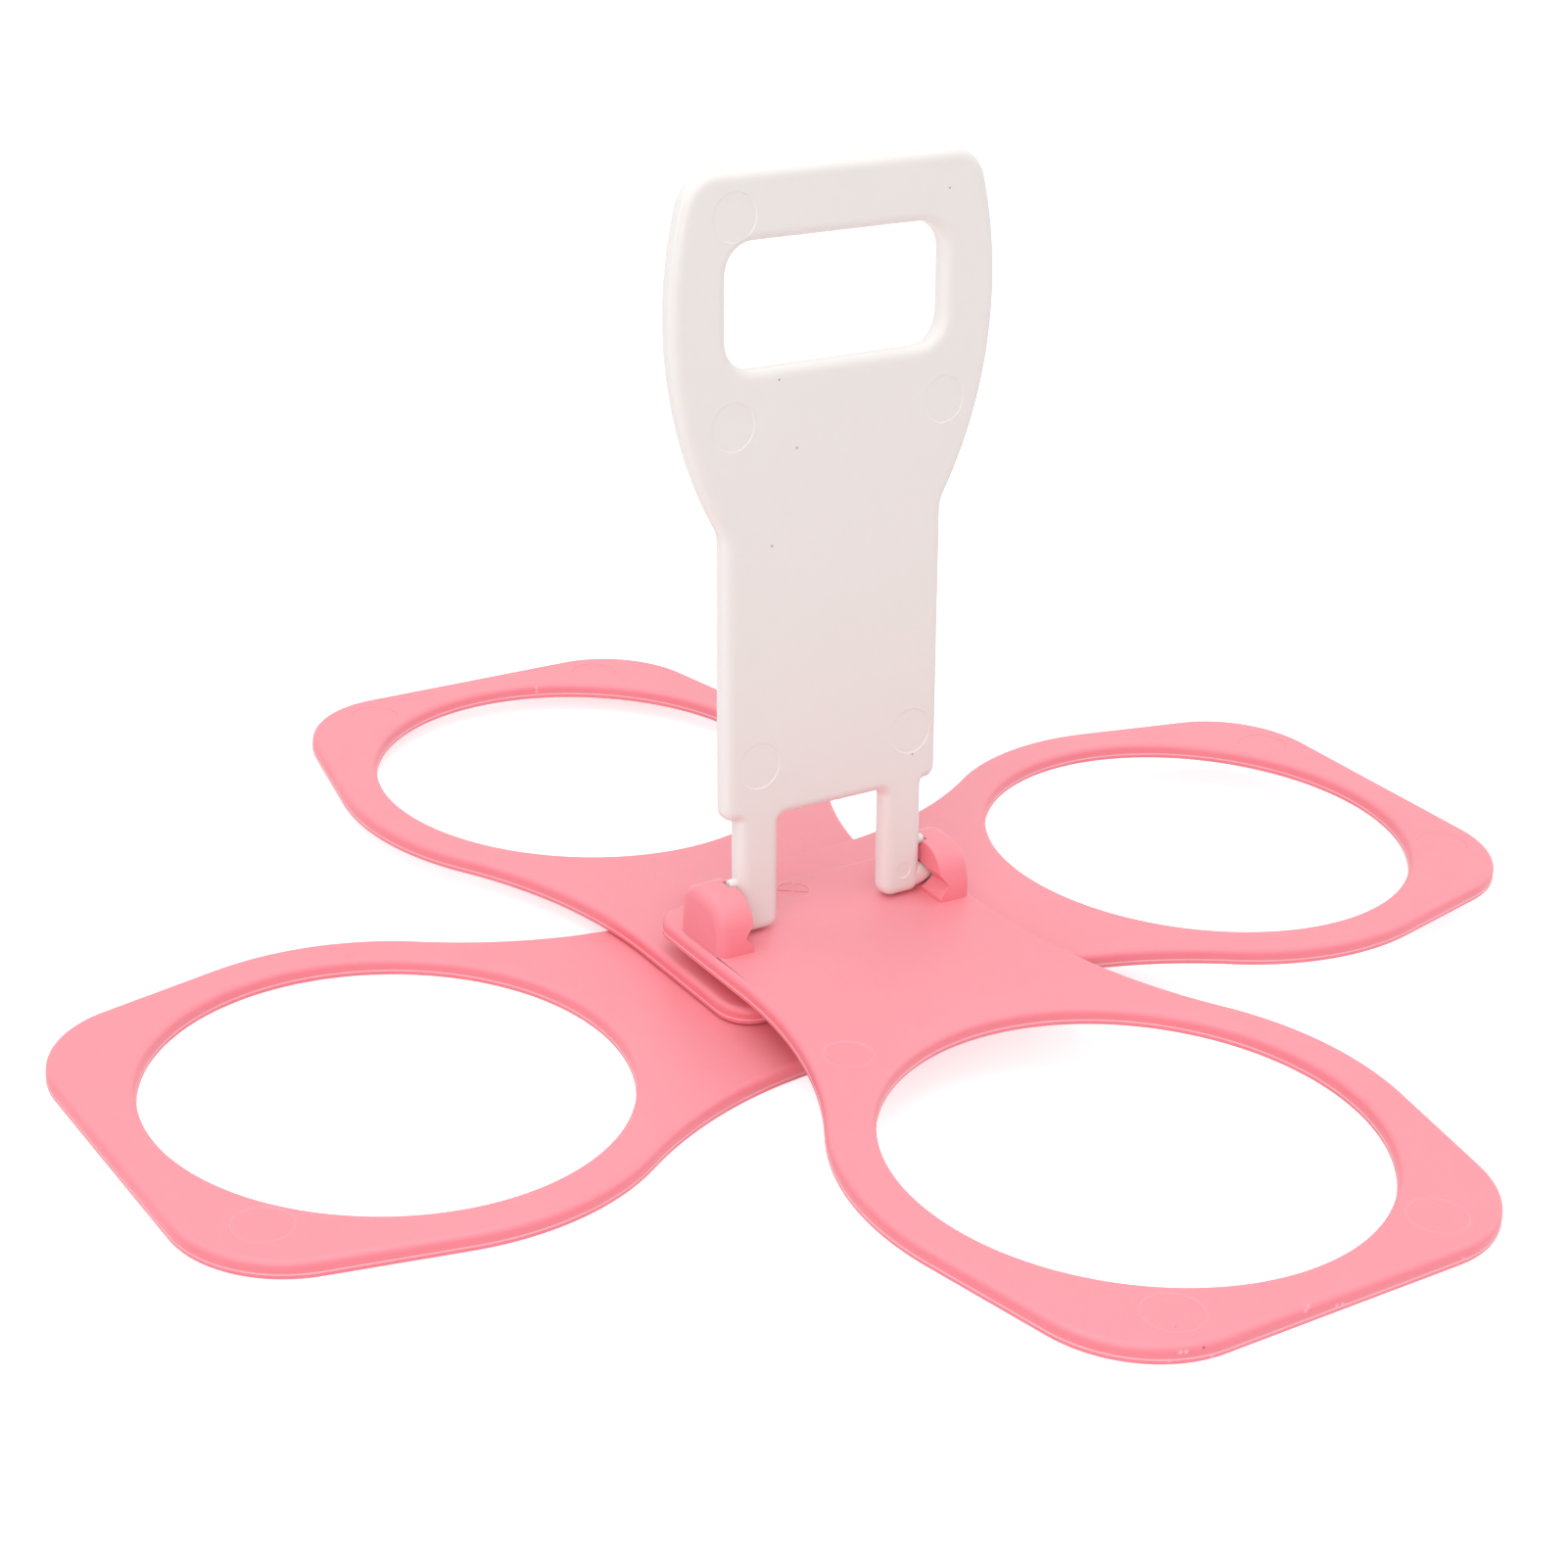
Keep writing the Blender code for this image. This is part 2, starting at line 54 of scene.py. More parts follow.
# Petal plates: HOLE, RING and END are measured from the middle of the cup hole, ARM from the pivot
ARM = 85.0
HOLE = 40.0
RING = 48.0
END = 47.8
CORNER = 20.0
TAPER = math.radians(12.0)
WAIST = 80.0
HUB_HALF = 27.5
HUB_BACK = 14.3
HUB_CORNER = 6.0
PLATE = 3.0
LEVEL = 3.3
LEDGE_LEVEL = 0.95
LEDGE = 0.05
TOP_ROUND = 1.15
BASE_ROUND = 0.45
PETAL_BAND = 0.12
TOP_FACE = 3 * LEVEL + PLATE

# Each petal's level, counted up from the table, and its turn in degrees
FRONT_PLACE = (3, -90)
RIGHT_PLACE = (2, 0)
BACK_PLACE = (1, 90)
LEFT_PLACE = (0, 180)

# Pivot, its cap and the fan stops
PIVOT_HOLE = 6.1
BOSS = 5.8
BORE = 3.6
BORE_DEPTH = 7.3
RECESS = 8.7
RECESS_DEPTH = 1.65
CAP = 8.4
CAP_LOW = 0.25
CAP_HIGH = 1.35
CAP_EDGE = 0.3
CAP_SHANK = 3.3
CAP_TIP = 2.9
CAP_TAPER = 0.8
CAP_TOP = 8.35
STOP_ANGLE = math.radians(135.0)
GROOVE_MIDDLE = 11.0
GROOVE_WIDTH = 2.6
GROOVE_DEPTH = 1.3
GROOVE_END = 1.8
LUG_HALF = 1.5
LUG_SLACK = 0.6
LUG_REACH = 1.2

# Handle, measured up from the hinge line
HINGE_BACK = 0.6
AXIS_RISE = 2.9817
LEAN = math.radians(5.0)
HANDLE_HALF = 2.2
HANDLE_ROUND = 1.8
HANDLE_BAND = 0.1
REACH = 127.3
LEG_INNER = 11.1
LEG_OUTER = 18.95
CROTCH = 17.7
CROTCH_CORNER = 1.6
SHOULDER = 18.1
SHOULDER_SLOPE = 0.3
SHOULDER_FILLET = 0.6
SHOULDER_CORNER = 2.2
SHANK_HALF = 21.85
FOOT = 2.7
FOOT_INNER_CORNER = 2.3
FOOT_OUTER_CORNER = 2.05
GRIP_HALF = 31.85
FLARE = 70.0
FLARE_LEVEL = 104.2
NECK = 5.0
TOP_CORNER = 6.5
SLOT_HALF = 21.35
SLOT_LOW = 95.2
SLOT_HIGH = 115.9
SLOT_CORNER = 5.2
PEG_ROOT = 2.17
PEG_TIP = 1.2
PEG_LENGTH = 4.0
PEG_DEPTH = 2.3
PEG_EDGE = 0.3
NUB_REACH = 6.3
NUB = 0.95
NUB_LENGTH = 1.4
NUB_DEPTH = 2.0
NUB_EDGE = 0.35

# Knuckles on the top petal
KNUCKLE_OUTER = 26.25
KNUCKLE_INNER = 19.55
KNUCKLE_FRONT = 6.9
KNUCKLE_REAR = 6.8
KNUCKLE_CROWN = 6.5
KNUCKLE_CREST = 2.0
KNUCKLE_REAR_CORNER = 4.2
KNUCKLE_FULLNESS = 2.6
KNUCKLE_ROUND = 1.9
KNUCKLE_BAND = 0.12
KNUCKLE_INNER_ROUND = 0.25
KNUCKLE_INNER_BAND = 0.05
KNUCKLE_ROOT = 2.6
KNUCKLE_FOOT = 0.35
SOCKET_MOUTH = 2.85
SOCKET_END = 1.5
SOCKET_LENGTH = 4.7
NOTCH_HALF = 2.2
NOTCH_DEPTH = 1.75
NUB_SLACK = 0.3
NUB_SEAT_DEPTH = 1.15

# Ejector pins leave marks MARK_DEPTH deep, with an edge that slopes in over MARK_EDGE.
# Each mark has its place on the flat piece and its radius.
MARK_DEPTH = 0.12
MARK_EDGE = 0.15
END_MARKS = [(124.3, -25.6, 4.7), (124.3, 25.6, 4.7)]
FRONT_MARKS = END_MARKS + [(43.0, -25.0, 4.1)]
LEFT_MARKS = [(120.6, 29.5, 4.7)]
CROSS_MARK = (-9.5, -0.8, 2.9)
CROSS_TURN = math.radians(55.0)
SAW_CUT = 0.4
HANDLE_MARKS = [
    (-20.1, 120.2, 4.1),
    (-20.5, 86.5, 4.1),
    (21.4, 85.9, 4.1),
    (15.9, 27.9, 4.1),
    (-15.3, 27.6, 4.1),
    (15.0, 2.0, 1.5),
]

# Faces that meet at less than SMOOTH_ANGLE are shaded as one
SMOOTH_ANGLE = math.radians(32.0)
FLAT_FACE_WEIGHT = 60


# Work at the bench

def put_down():
    if bpy.context.object and bpy.context.object.mode != "OBJECT":
        bpy.ops.object.mode_set(mode="OBJECT")
    bpy.ops.object.select_all(action="DESELECT")


def take(piece):
    put_down()
    piece.select_set(True)
    bpy.context.view_layer.objects.active = piece


def open_mesh(piece, mode="FACE"):
    take(piece)
    bpy.ops.object.mode_set(mode="EDIT")
    bpy.ops.mesh.select_mode(type=mode)
    bpy.ops.mesh.select_all(action="DESELECT")


def choose_underside(piece):
    """Leaves the piece open with the faces selected that look straight down, or nearly so."""
    open_mesh(piece)
    bpy.ops.object.mode_set(mode="OBJECT")
    for face in piece.data.polygons:
        face.select = face.normal.z < -0.9
    bpy.ops.object.mode_set(mode="EDIT")


def choose_edges(piece, wanted):
    """Leaves the piece open with the edges selected that the test wants, by their two ends."""
    open_mesh(piece, "EDGE")
    bpy.ops.object.mode_set(mode="OBJECT")
    points = piece.data.vertices
    for edge in piece.data.edges:
        a, b = (points[i].co / MM for i in edge.vertices)
        edge.select = wanted(a, b)
    bpy.ops.object.mode_set(mode="EDIT")


def upper_end(a, b):
    """Tells the edges round the upper end of a rod or cone that stands across the ground plane."""
    return min(a.z, b.z) > 0


class Pen:
    """Draws an outline in edit mode, on the ground plane. Extrude and spin carry its end on."""

    def __init__(self, x, y):
        bpy.ops.mesh.primitive_plane_add(size=MM, location=(x * MM, y * MM, 0))
        bpy.ops.mesh.merge(type="CENTER")
        self.at = Vector((x, y))

    def line(self, x, y):
        step = Vector((x, y)) - self.at
        if step.length < SAME_POINT:
            return
        bpy.ops.mesh.extrude_region_move(TRANSFORM_OT_translate={"value": (step.x * MM, step.y * MM, 0)})
        self.at = Vector((x, y))

    def arc(self, centre, angle, steps):
        """Counter-clockwise for a positive angle, in radians."""
        centre = Vector(centre)
        middle = (centre.x * MM, centre.y * MM, 0)
        bpy.ops.mesh.spin(steps=steps, angle=-angle, center=middle, axis=(0, 0, 1))
        self.at = centre + Matrix.Rotation(angle, 2) @ (self.at - centre)

    def corner(self, x, y, towards, radius, steps):
        """Runs up to a corner and round it, ready to go on towards the next point."""
        tip = Vector((x, y))
        back = (self.at - tip).normalized()
        on = (Vector(towards) - tip).normalized()
        half = back.angle(on) / 2
        start = tip + back * radius / math.tan(half)
        centre = tip + (back + on).normalized() * radius / math.sin(half)
        turn = math.pi - 2 * half
        side = back.x * on.y - back.y * on.x
        self.line(start.x, start.y)
        self.arc(centre, turn if side < 0 else -turn, steps)


def new_outline(name):
    """An empty mesh, open for drawing."""
    put_down()
    bpy.ops.mesh.primitive_plane_add(size=MM, location=(0, 0, 0))
    piece = bpy.context.object
    piece.name = piece.data.name = name
    bpy.ops.object.mode_set(mode="EDIT")
    bpy.ops.mesh.select_mode(type="VERT")
    bpy.ops.mesh.select_all(action="SELECT")
    bpy.ops.mesh.delete(type="VERT")
    return piece


def join_ends():
    bpy.ops.mesh.select_all(action="SELECT")
    bpy.ops.mesh.remove_doubles(threshold=JOIN * MM)


def mirror_outline(flip):
    """Adds the mirror image of everything drawn so far, and joins the two along the middle line."""
    bpy.ops.mesh.select_all(action="SELECT")
    bpy.ops.mesh.duplicate()
    bpy.ops.transform.resize(value=flip, center_override=(0, 0, 0))
    join_ends()


def fill_outline(piece):
    """Fills the drawn outline with flat faces that look upwards, all selected."""
    bpy.ops.mesh.select_all(action="SELECT")
    bpy.ops.mesh.fill(use_beauty=True)
    bpy.ops.mesh.select_mode(type="FACE")
    bpy.ops.mesh.select_all(action="SELECT")
    bpy.ops.mesh.normals_make_consistent(inside=False)
    bpy.ops.object.mode_set(mode="OBJECT")
    upside_down = piece.data.polygons[0].normal.z < 0
    bpy.ops.object.mode_set(mode="EDIT")
    if upside_down:
        bpy.ops.mesh.flip_normals()


def raise_by(height):
    bpy.ops.mesh.extrude_region_move(TRANSFORM_OT_translate={"value": (0, 0, height * MM)})


def lay_new_flat():
    """Takes out the selected flat face and fills its rim again, so that no sliver stays folded over."""
    bpy.ops.mesh.delete(type="ONLY_FACE")
    bpy.ops.mesh.select_mode(type="EDGE")
    bpy.ops.mesh.select_all(action="DESELECT")
    bpy.ops.mesh.select_loose()
    bpy.ops.mesh.delete(type="EDGE")
    bpy.ops.mesh.select_non_manifold(
        extend=False,
        use_wire=False,
        use_boundary=True,
        use_multi_face=False,
        use_non_contiguous=False,
        use_verts=False,
    )
    bpy.ops.mesh.fill(use_beauty=True)
    bpy.ops.mesh.select_mode(type="FACE")


def roll_rim(radius, steps, band, up=1):
    """Rolls the rim of the selected flat face over in a quarter round, with a narrow flat band inside."""
    quarter = math.pi / 2
    for i in range(steps):
        a, b = quarter * i / steps, quarter * (i + 1) / steps
        thickness = radius * (math.cos(a) - math.cos(b))
        depth = radius * (math.sin(b) - math.sin(a))
        bpy.ops.mesh.inset(thickness=thickness * MM, depth=0)
        bpy.ops.transform.translate(value=(0, 0, up * depth * MM))
        lay_new_flat()
    bpy.ops.mesh.inset(thickness=band * MM, depth=0)
    lay_new_flat()


def face_outwards(piece):
    open_mesh(piece)
    bpy.ops.mesh.select_all(action="SELECT")
    bpy.ops.mesh.remove_doubles(threshold=SAME_POINT * MM)
    bpy.ops.mesh.normals_make_consistent(inside=False)
    bpy.ops.object.mode_set(mode="OBJECT")


def place(piece, where, turn):
    """Sets a piece in its place, with the place kept in its mesh."""
    take(piece)
    piece.location = [value * MM for value in where]
    piece.rotation_euler = turn
    bpy.ops.object.transform_apply(location=True, rotation=True, scale=True)


def copy_of(piece, name):
    take(piece)
    bpy.ops.object.duplicate(linked=False)
    twin = bpy.context.object
    twin.name = twin.data.name = name
    return twin


def mirrored_copy(piece, name):
    twin = copy_of(piece, name)
    open_mesh(twin)
    bpy.ops.mesh.select_all(action="SELECT")
    bpy.ops.transform.resize(value=(1, -1, 1), center_override=(0, 0, 0))
    bpy.ops.object.mode_set(mode="OBJECT")
    face_outwards(twin)
    return twin


def work_in(piece, tool, operation):
    """Cuts the tool out of the piece, or grows it on, and uses the tool up."""
    take(piece)
    step = piece.modifiers.new(operation.lower(), "BOOLEAN")
    step.operation = operation
    step.solver = "EXACT"
    step.object = tool
    bpy.ops.object.modifier_apply(modifier=step.name)
    bpy.data.objects.remove(tool, do_unlink=True)


def rod(name, radius, low, high, sides=96):
    """An upright round bar on the pivot axis, from one height to another."""
    put_down()
    middle = (0, 0, (low + high) / 2 * MM)
    bpy.ops.mesh.primitive_cylinder_add(
        vertices=sides, radius=radius * MM, depth=(high - low) * MM, location=middle
    )
    made = bpy.context.object
    made.name = made.data.name = name
    bpy.ops.object.transform_apply(location=True, rotation=True, scale=True)
    return made


def press_mark(piece, x, y, top, radius):
    """The shallow round mark of an ejector pin in a face that looks up."""
    put_down()
    bpy.ops.mesh.primitive_cone_add(
        vertices=72,
        radius1=(radius - MARK_EDGE) * MM,
        radius2=(radius + MARK_EDGE) * MM,
        depth=2 * MARK_DEPTH * MM,
        location=(x * MM, y * MM, top * MM),
    )
    work_in(piece, bpy.context.object, "DIFFERENCE")


def press_cross(piece, x, y, top, radius):
    """A small round mark whose floor keeps a raised cross, as a pin with two saw cuts leaves it."""
    tool = rod("cross_pin", radius, top - MARK_DEPTH, top + SPARE)
    for turn in (0, math.pi / 2):
        bpy.ops.mesh.primitive_cube_add(size=MM)
        saw = bpy.context.object
        saw.scale = (2 * (radius + SPARE), SAW_CUT, 4 * SPARE)
        place(saw, (0, 0, top), (0, 0, turn))
        work_in(tool, saw, "DIFFERENCE")
    place(tool, (x, y, 0), (0, 0, CROSS_TURN))
    work_in(piece, tool, "DIFFERENCE")


def soften(piece, wanted, width, segments):
    """Rounds the edges that the test wants."""
    choose_edges(piece, wanted)
    bpy.ops.mesh.bevel(offset=width * MM, segments=segments, affect="EDGES", clamp_overlap=True)
    bpy.ops.object.mode_set(mode="OBJECT")


def finish_surface(piece):
    """Smooth shading that keeps flat faces flat."""
    take(piece)
    bpy.ops.object.shade_smooth_by_angle(angle=SMOOTH_ANGLE)
    step = piece.modifiers.new("even_shading", "WEIGHTED_NORMAL")
    step.keep_sharp = True
    step.weight = FLAT_FACE_WEIGHT
    bpy.ops.object.modifier_apply(modifier=step.name)


# Petals

def draw_petal(name):
    """One ring petal lying flat, its arm along +X and its underside on the ground plane."""
    piece = new_outline(name)
    corner_x = END - CORNER
    corner_y = (RING - CORNER - math.sin(TAPER) * corner_x) / math.cos(TAPER)
    square = math.pi / 2
    waist_y = HUB_HALF + WAIST
    waist_back = math.sqrt((RING + WAIST) ** 2 - waist_y ** 2)
    leave = math.atan2(waist_y, -waist_back)

    pen = Pen(ARM + END, 0)
    pen.line(ARM + END, corner_y)
    pen.arc((ARM + corner_x, corner_y), square - TAPER, steps=20)
    pen.line(ARM + RING * math.cos(square - TAPER), RING * math.sin(square - TAPER))
    pen.arc((ARM, 0), leave - square + TAPER, steps=26)
    pen.arc((ARM - waist_back, waist_y), square - leave, steps=24)
    pen.line(HUB_CORNER - HUB_BACK, HUB_HALF)
    pen.arc((HUB_CORNER - HUB_BACK, HUB_HALF - HUB_CORNER), square, steps=12)
    pen.line(-HUB_BACK, 0)
    mirror_outline((1, -1, 1))

    bpy.ops.mesh.primitive_circle_add(vertices=144, radius=HOLE * MM, location=(ARM * MM, 0, 0))
    fill_outline(piece)
    bpy.ops.transform.translate(value=(0, 0, BASE_ROUND * MM))
    raise_by(LEDGE_LEVEL - BASE_ROUND)
    bpy.ops.mesh.inset(thickness=LEDGE * MM, depth=0)
    raise_by(PLATE - TOP_ROUND - LEDGE_LEVEL)
    roll_rim(TOP_ROUND, steps=6, band=PETAL_BAND)
    bpy.ops.object.mode_set(mode="OBJECT")
    face_outwards(piece)
    choose_underside(piece)
    roll_rim(BASE_ROUND, steps=4, band=PETAL_BAND, up=-1)
    bpy.ops.object.mode_set(mode="OBJECT")
    return piece


def ring_slot(name, width, start, end, low, high):
    """A bent bar round the pivot, for the stop grooves and their lugs."""
    piece = new_outline(name)
    inner, outer = GROOVE_MIDDLE - width / 2, GROOVE_MIDDLE + width / 2
    pen = Pen(outer * math.cos(start), outer * math.sin(start))
    pen.arc((0, 0), end - start, steps=40)
    pen.line(inner * math.cos(end), inner * math.sin(end))
    pen.arc((0, 0), start - end, steps=40)
    pen.line(outer * math.cos(start), outer * math.sin(start))
    join_ends()
    fill_outline(piece)
    bpy.ops.transform.translate(value=(0, 0, low * MM))
    raise_by(high - low)
    bpy.ops.object.mode_set(mode="OBJECT")
    face_outwards(piece)
    return piece


def add_fan_work(piece, groove, lug):
    """The pivot hole and stop groove in a petal's top, and the lug under it."""
    if groove:
        work_in(piece, rod("pivot_hole", PIVOT_HOLE, -SPARE, PLATE + SPARE), "DIFFERENCE")
        reach = GROOVE_END / GROOVE_MIDDLE
        start = STOP_ANGLE - math.pi / 2 - reach
        end = STOP_ANGLE + reach
        track = ring_slot("groove", GROOVE_WIDTH, start, end, PLATE - GROOVE_DEPTH, PLATE + SPARE)
        work_in(piece, track, "DIFFERENCE")
    if lug:
        reach = LUG_HALF / GROOVE_MIDDLE
        start, end = STOP_ANGLE - reach, STOP_ANGLE + reach
        stop = ring_slot("lug", GROOVE_WIDTH - LUG_SLACK, start, end, -LUG_REACH, OVERLAP)
        work_in(piece, stop, "UNION")


def add_boss(piece):
    """The hollow boss under the top petal, which carries the other three petals and the cap."""
    low = RECESS_DEPTH - 3 * LEVEL
    work_in(piece, rod("boss", BOSS, low, OVERLAP), "UNION")
    work_in(piece, rod("bore", BORE, low - SPARE, low + BORE_DEPTH), "DIFFERENCE")


# Knuckles

def draw_knuckle():
    """The left knuckle in the top petal's own frame, still whole: rolled outside and flat inside."""
    piece = new_outline("left_knuckle")
    rise = AXIS_RISE + KNUCKLE_CROWN
    crest = KNUCKLE_REAR_CORNER - KNUCKLE_REAR + KNUCKLE_CREST
    run = KNUCKLE_FRONT - crest
    pen = Pen(-KNUCKLE_REAR, -KNUCKLE_ROOT)
    pen.line(-KNUCKLE_REAR, rise - KNUCKLE_REAR_CORNER)
    pen.arc((KNUCKLE_REAR_CORNER - KNUCKLE_REAR, rise - KNUCKLE_REAR_CORNER), -math.pi / 2, steps=12)
    steps = 32
    power = 2 / KNUCKLE_FULLNESS
    for i in range(1, steps + 1):
        a = math.pi / 2 * (1 - i / steps)
        pen.line(crest + run * math.cos(a) ** power, rise * math.sin(a) ** power)
    pen.line(KNUCKLE_FRONT, -KNUCKLE_ROOT)
    pen.line(-KNUCKLE_REAR, -KNUCKLE_ROOT)
    join_ends()
    fill_outline(piece)
    width = KNUCKLE_OUTER - KNUCKLE_INNER
    bpy.ops.transform.translate(value=(0, 0, KNUCKLE_INNER_ROUND * MM))
    raise_by(width - KNUCKLE_INNER_ROUND - KNUCKLE_ROUND)
    roll_rim(KNUCKLE_ROUND, steps=7, band=KNUCKLE_BAND)
    bpy.ops.object.mode_set(mode="OBJECT")
    face_outwards(piece)
    choose_underside(piece)
    roll_rim(KNUCKLE_INNER_ROUND, steps=3, band=KNUCKLE_INNER_BAND, up=-1)
    bpy.ops.object.mode_set(mode="OBJECT")
    place(piece, (0, -KNUCKLE_INNER, PLATE), (math.pi / 2, 0, 0))
    return piece


def cut_knuckle(piece):
    """The peg's tapered socket, the notch it snaps in through, and the stop nub's seat in the crown."""
    axis_z = PLATE + AXIS_RISE
    put_down()
    bpy.ops.mesh.primitive_cone_add(
        vertices=64, radius1=SOCKET_MOUTH * MM, radius2=SOCKET_END * MM, depth=SOCKET_LENGTH * MM
    )
    socket = bpy.context.object
    place(socket, (-HINGE_BACK, SPARE - KNUCKLE_INNER - SOCKET_LENGTH / 2, axis_z), (math.pi / 2, 0, 0))
    work_in(piece, socket, "DIFFERENCE")

    wedge = new_outline("notch")
    spread = NOTCH_HALF * (1 + SPARE / NOTCH_DEPTH)
    pen = Pen(-spread, SPARE)
    pen.line(spread, SPARE)
    pen.line(0, -NOTCH_DEPTH)
    pen.line(-spread, SPARE)
    join_ends()
    fill_outline(wedge)
    raise_by(KNUCKLE_FRONT + HINGE_BACK + SPARE)
    bpy.ops.object.mode_set(mode="OBJECT")
    face_outwards(wedge)
    place(wedge, (-HINGE_BACK, -KNUCKLE_INNER, axis_z), (0, math.pi / 2, 0))
    work_in(piece, wedge, "DIFFERENCE")

    back = HINGE_BACK + NUB_REACH * math.sin(LEAN)
    rise = AXIS_RISE + NUB_REACH * math.cos(LEAN)
    seat = rod("nub_seat", NUB + NUB_SLACK, -NUB_SEAT_DEPTH, SPARE, sides=64)
    place(seat, (-back, -KNUCKLE_INNER, PLATE + rise), (-math.pi / 2, 0, 0))
    work_in(piece, seat, "DIFFERENCE")


def add_knuckles(piece):
    left_knuckle = draw_knuckle()
    cut_knuckle(left_knuckle)
    right_knuckle = mirrored_copy(left_knuckle, "right_knuckle")
    work_in(piece, left_knuckle, "UNION")
    work_in(piece, right_knuckle, "UNION")


def foot_of_knuckle(a, b):
    """Tells the edges where a knuckle stands on the top petal."""
    rise, slack = 0.01, 0.1
    level = max(abs(a.z - PLATE), abs(b.z - PLATE)) < rise
    inner = min(abs(a.y), abs(b.y)) > KNUCKLE_INNER - slack
    outer = max(abs(a.y), abs(b.y)) < KNUCKLE_OUTER + slack
    along = min(a.x, b.x) > -KNUCKLE_REAR - slack and max(a.x, b.x) < KNUCKLE_FRONT + slack
    return level and inner and outer and along


# Handle

def draw_handle():
    """The handle lying flat, its middle plane on the ground plane and its hinge line along X."""
    piece = new_outline("handle_moulding")
    shoulder_y = SHOULDER + SHOULDER_SLOPE
    flare_x = GRIP_HALF - FLARE
    neck_x = SHANK_HALF + NECK
    neck_y = FLARE_LEVEL - math.sqrt((FLARE + NECK) ** 2 - (neck_x - flare_x) ** 2)
    leave = math.atan2(neck_y - FLARE_LEVEL, neck_x - flare_x)
    top_y = REACH - TOP_CORNER
    top_x = flare_x + math.sqrt((FLARE - TOP_CORNER) ** 2 - (top_y - FLARE_LEVEL) ** 2)
    turn = math.atan2(top_y - FLARE_LEVEL, top_x - flare_x)

    pen = Pen(0, CROTCH)
    pen.corner(LEG_INNER, CROTCH, (LEG_INNER, -FOOT), CROTCH_CORNER, steps=8)
    pen.corner(LEG_INNER, -FOOT, (LEG_OUTER, -FOOT), FOOT_INNER_CORNER, steps=9)
    pen.corner(LEG_OUTER, -FOOT, (LEG_OUTER, SHOULDER), FOOT_OUTER_CORNER, steps=9)
    pen.corner(LEG_OUTER, SHOULDER, (SHANK_HALF, shoulder_y), SHOULDER_FILLET, steps=6)
    pen.corner(SHANK_HALF, shoulder_y, (SHANK_HALF, neck_y), SHOULDER_CORNER, steps=8)
    pen.line(SHANK_HALF, neck_y)
    pen.arc((neck_x, neck_y), leave, steps=8)
    pen.arc((flare_x, FLARE_LEVEL), turn - leave, steps=36)
    pen.arc((top_x, top_y), math.pi / 2 - turn, steps=18)
    pen.line(0, REACH)
    pen = Pen(0, SLOT_LOW)
    pen.corner(SLOT_HALF, SLOT_LOW, (SLOT_HALF, SLOT_HIGH), SLOT_CORNER, steps=14)
    pen.corner(SLOT_HALF, SLOT_HIGH, (0, SLOT_HIGH), SLOT_CORNER, steps=14)
    pen.line(0, SLOT_HIGH)
    mirror_outline((-1, 1, 1))
    fill_outline(piece)
    straight = HANDLE_HALF - HANDLE_ROUND
    bpy.ops.transform.translate(value=(0, 0, -straight * MM))
    raise_by(2 * straight)
    roll_rim(HANDLE_ROUND, steps=8, band=HANDLE_BAND)
    bpy.ops.object.mode_set(mode="OBJECT")
    face_outwards(piece)
    choose_underside(piece)
    roll_rim(HANDLE_ROUND, steps=8, band=HANDLE_BAND, up=-1)
    bpy.ops.object.mode_set(mode="OBJECT")
    return piece


def add_pins(handle):
    """The tapered hinge pegs and the round stop nubs on the outer sides of the legs."""
    for side in (-1, 1):
        put_down()
        bpy.ops.mesh.primitive_cone_add(
            vertices=96, radius1=PEG_ROOT * MM, radius2=PEG_TIP * MM, depth=PEG_LENGTH * MM
        )
        peg = bpy.context.object
        peg.name = "peg"
        choose_underside(peg)
        raise_by(-PEG_DEPTH)
        bpy.ops.object.mode_set(mode="OBJECT")
        face_outwards(peg)
        soften(peg, upper_end, PEG_EDGE, segments=4)
        place(peg, (side * (LEG_OUTER + PEG_LENGTH / 2), 0, 0), (0, side * math.pi / 2, 0))
        work_in(handle, peg, "UNION")
        nub = rod("nub", NUB, -NUB_DEPTH, NUB_LENGTH, sides=48)
        soften(nub, upper_end, NUB_EDGE, segments=5)
        place(nub, (side * LEG_OUTER, NUB_REACH, 0), (0, side * math.pi / 2, 0))
        work_in(handle, nub, "UNION")


# Cap

def turn_cap():
    """The pressed-in cap: its side profile drawn upright, then spun round the pivot."""
    piece = new_outline("pivot_cap_turned")
    pen = Pen(0, CAP_LOW)
    pen.line(CAP - CAP_EDGE, CAP_LOW)
    pen.arc((CAP - CAP_EDGE, CAP_LOW + CAP_EDGE), math.pi / 2, steps=5)
    pen.line(CAP, CAP_HIGH - CAP_EDGE)
    pen.arc((CAP - CAP_EDGE, CAP_HIGH - CAP_EDGE), math.pi / 2, steps=5)
    pen.line(CAP_SHANK, CAP_HIGH)
    pen.line(CAP_SHANK, CAP_TOP - CAP_TAPER)
    pen.line(CAP_TIP, CAP_TOP)
    pen.line(0, CAP_TOP)
    bpy.ops.mesh.select_all(action="SELECT")
    bpy.ops.transform.rotate(value=-math.pi / 2, orient_axis="X", center_override=(0, 0, 0))
    bpy.ops.mesh.select_all(action="SELECT")
    bpy.ops.mesh.spin(steps=64, angle=2 * math.pi, center=(0, 0, 0), axis=(0, 0, 1))
    bpy.ops.object.mode_set(mode="OBJECT")
    face_outwards(piece)
    return piece


# Plastics

# Patterns, in repeats per metre
DRIFT_SCALE = 14
MOTTLE_SCALE = 260
GRAIN_SCALE = 2600
WAVE_SCALE = 90
WEAR_SCALE = 55
SPECK_SCALE = 120

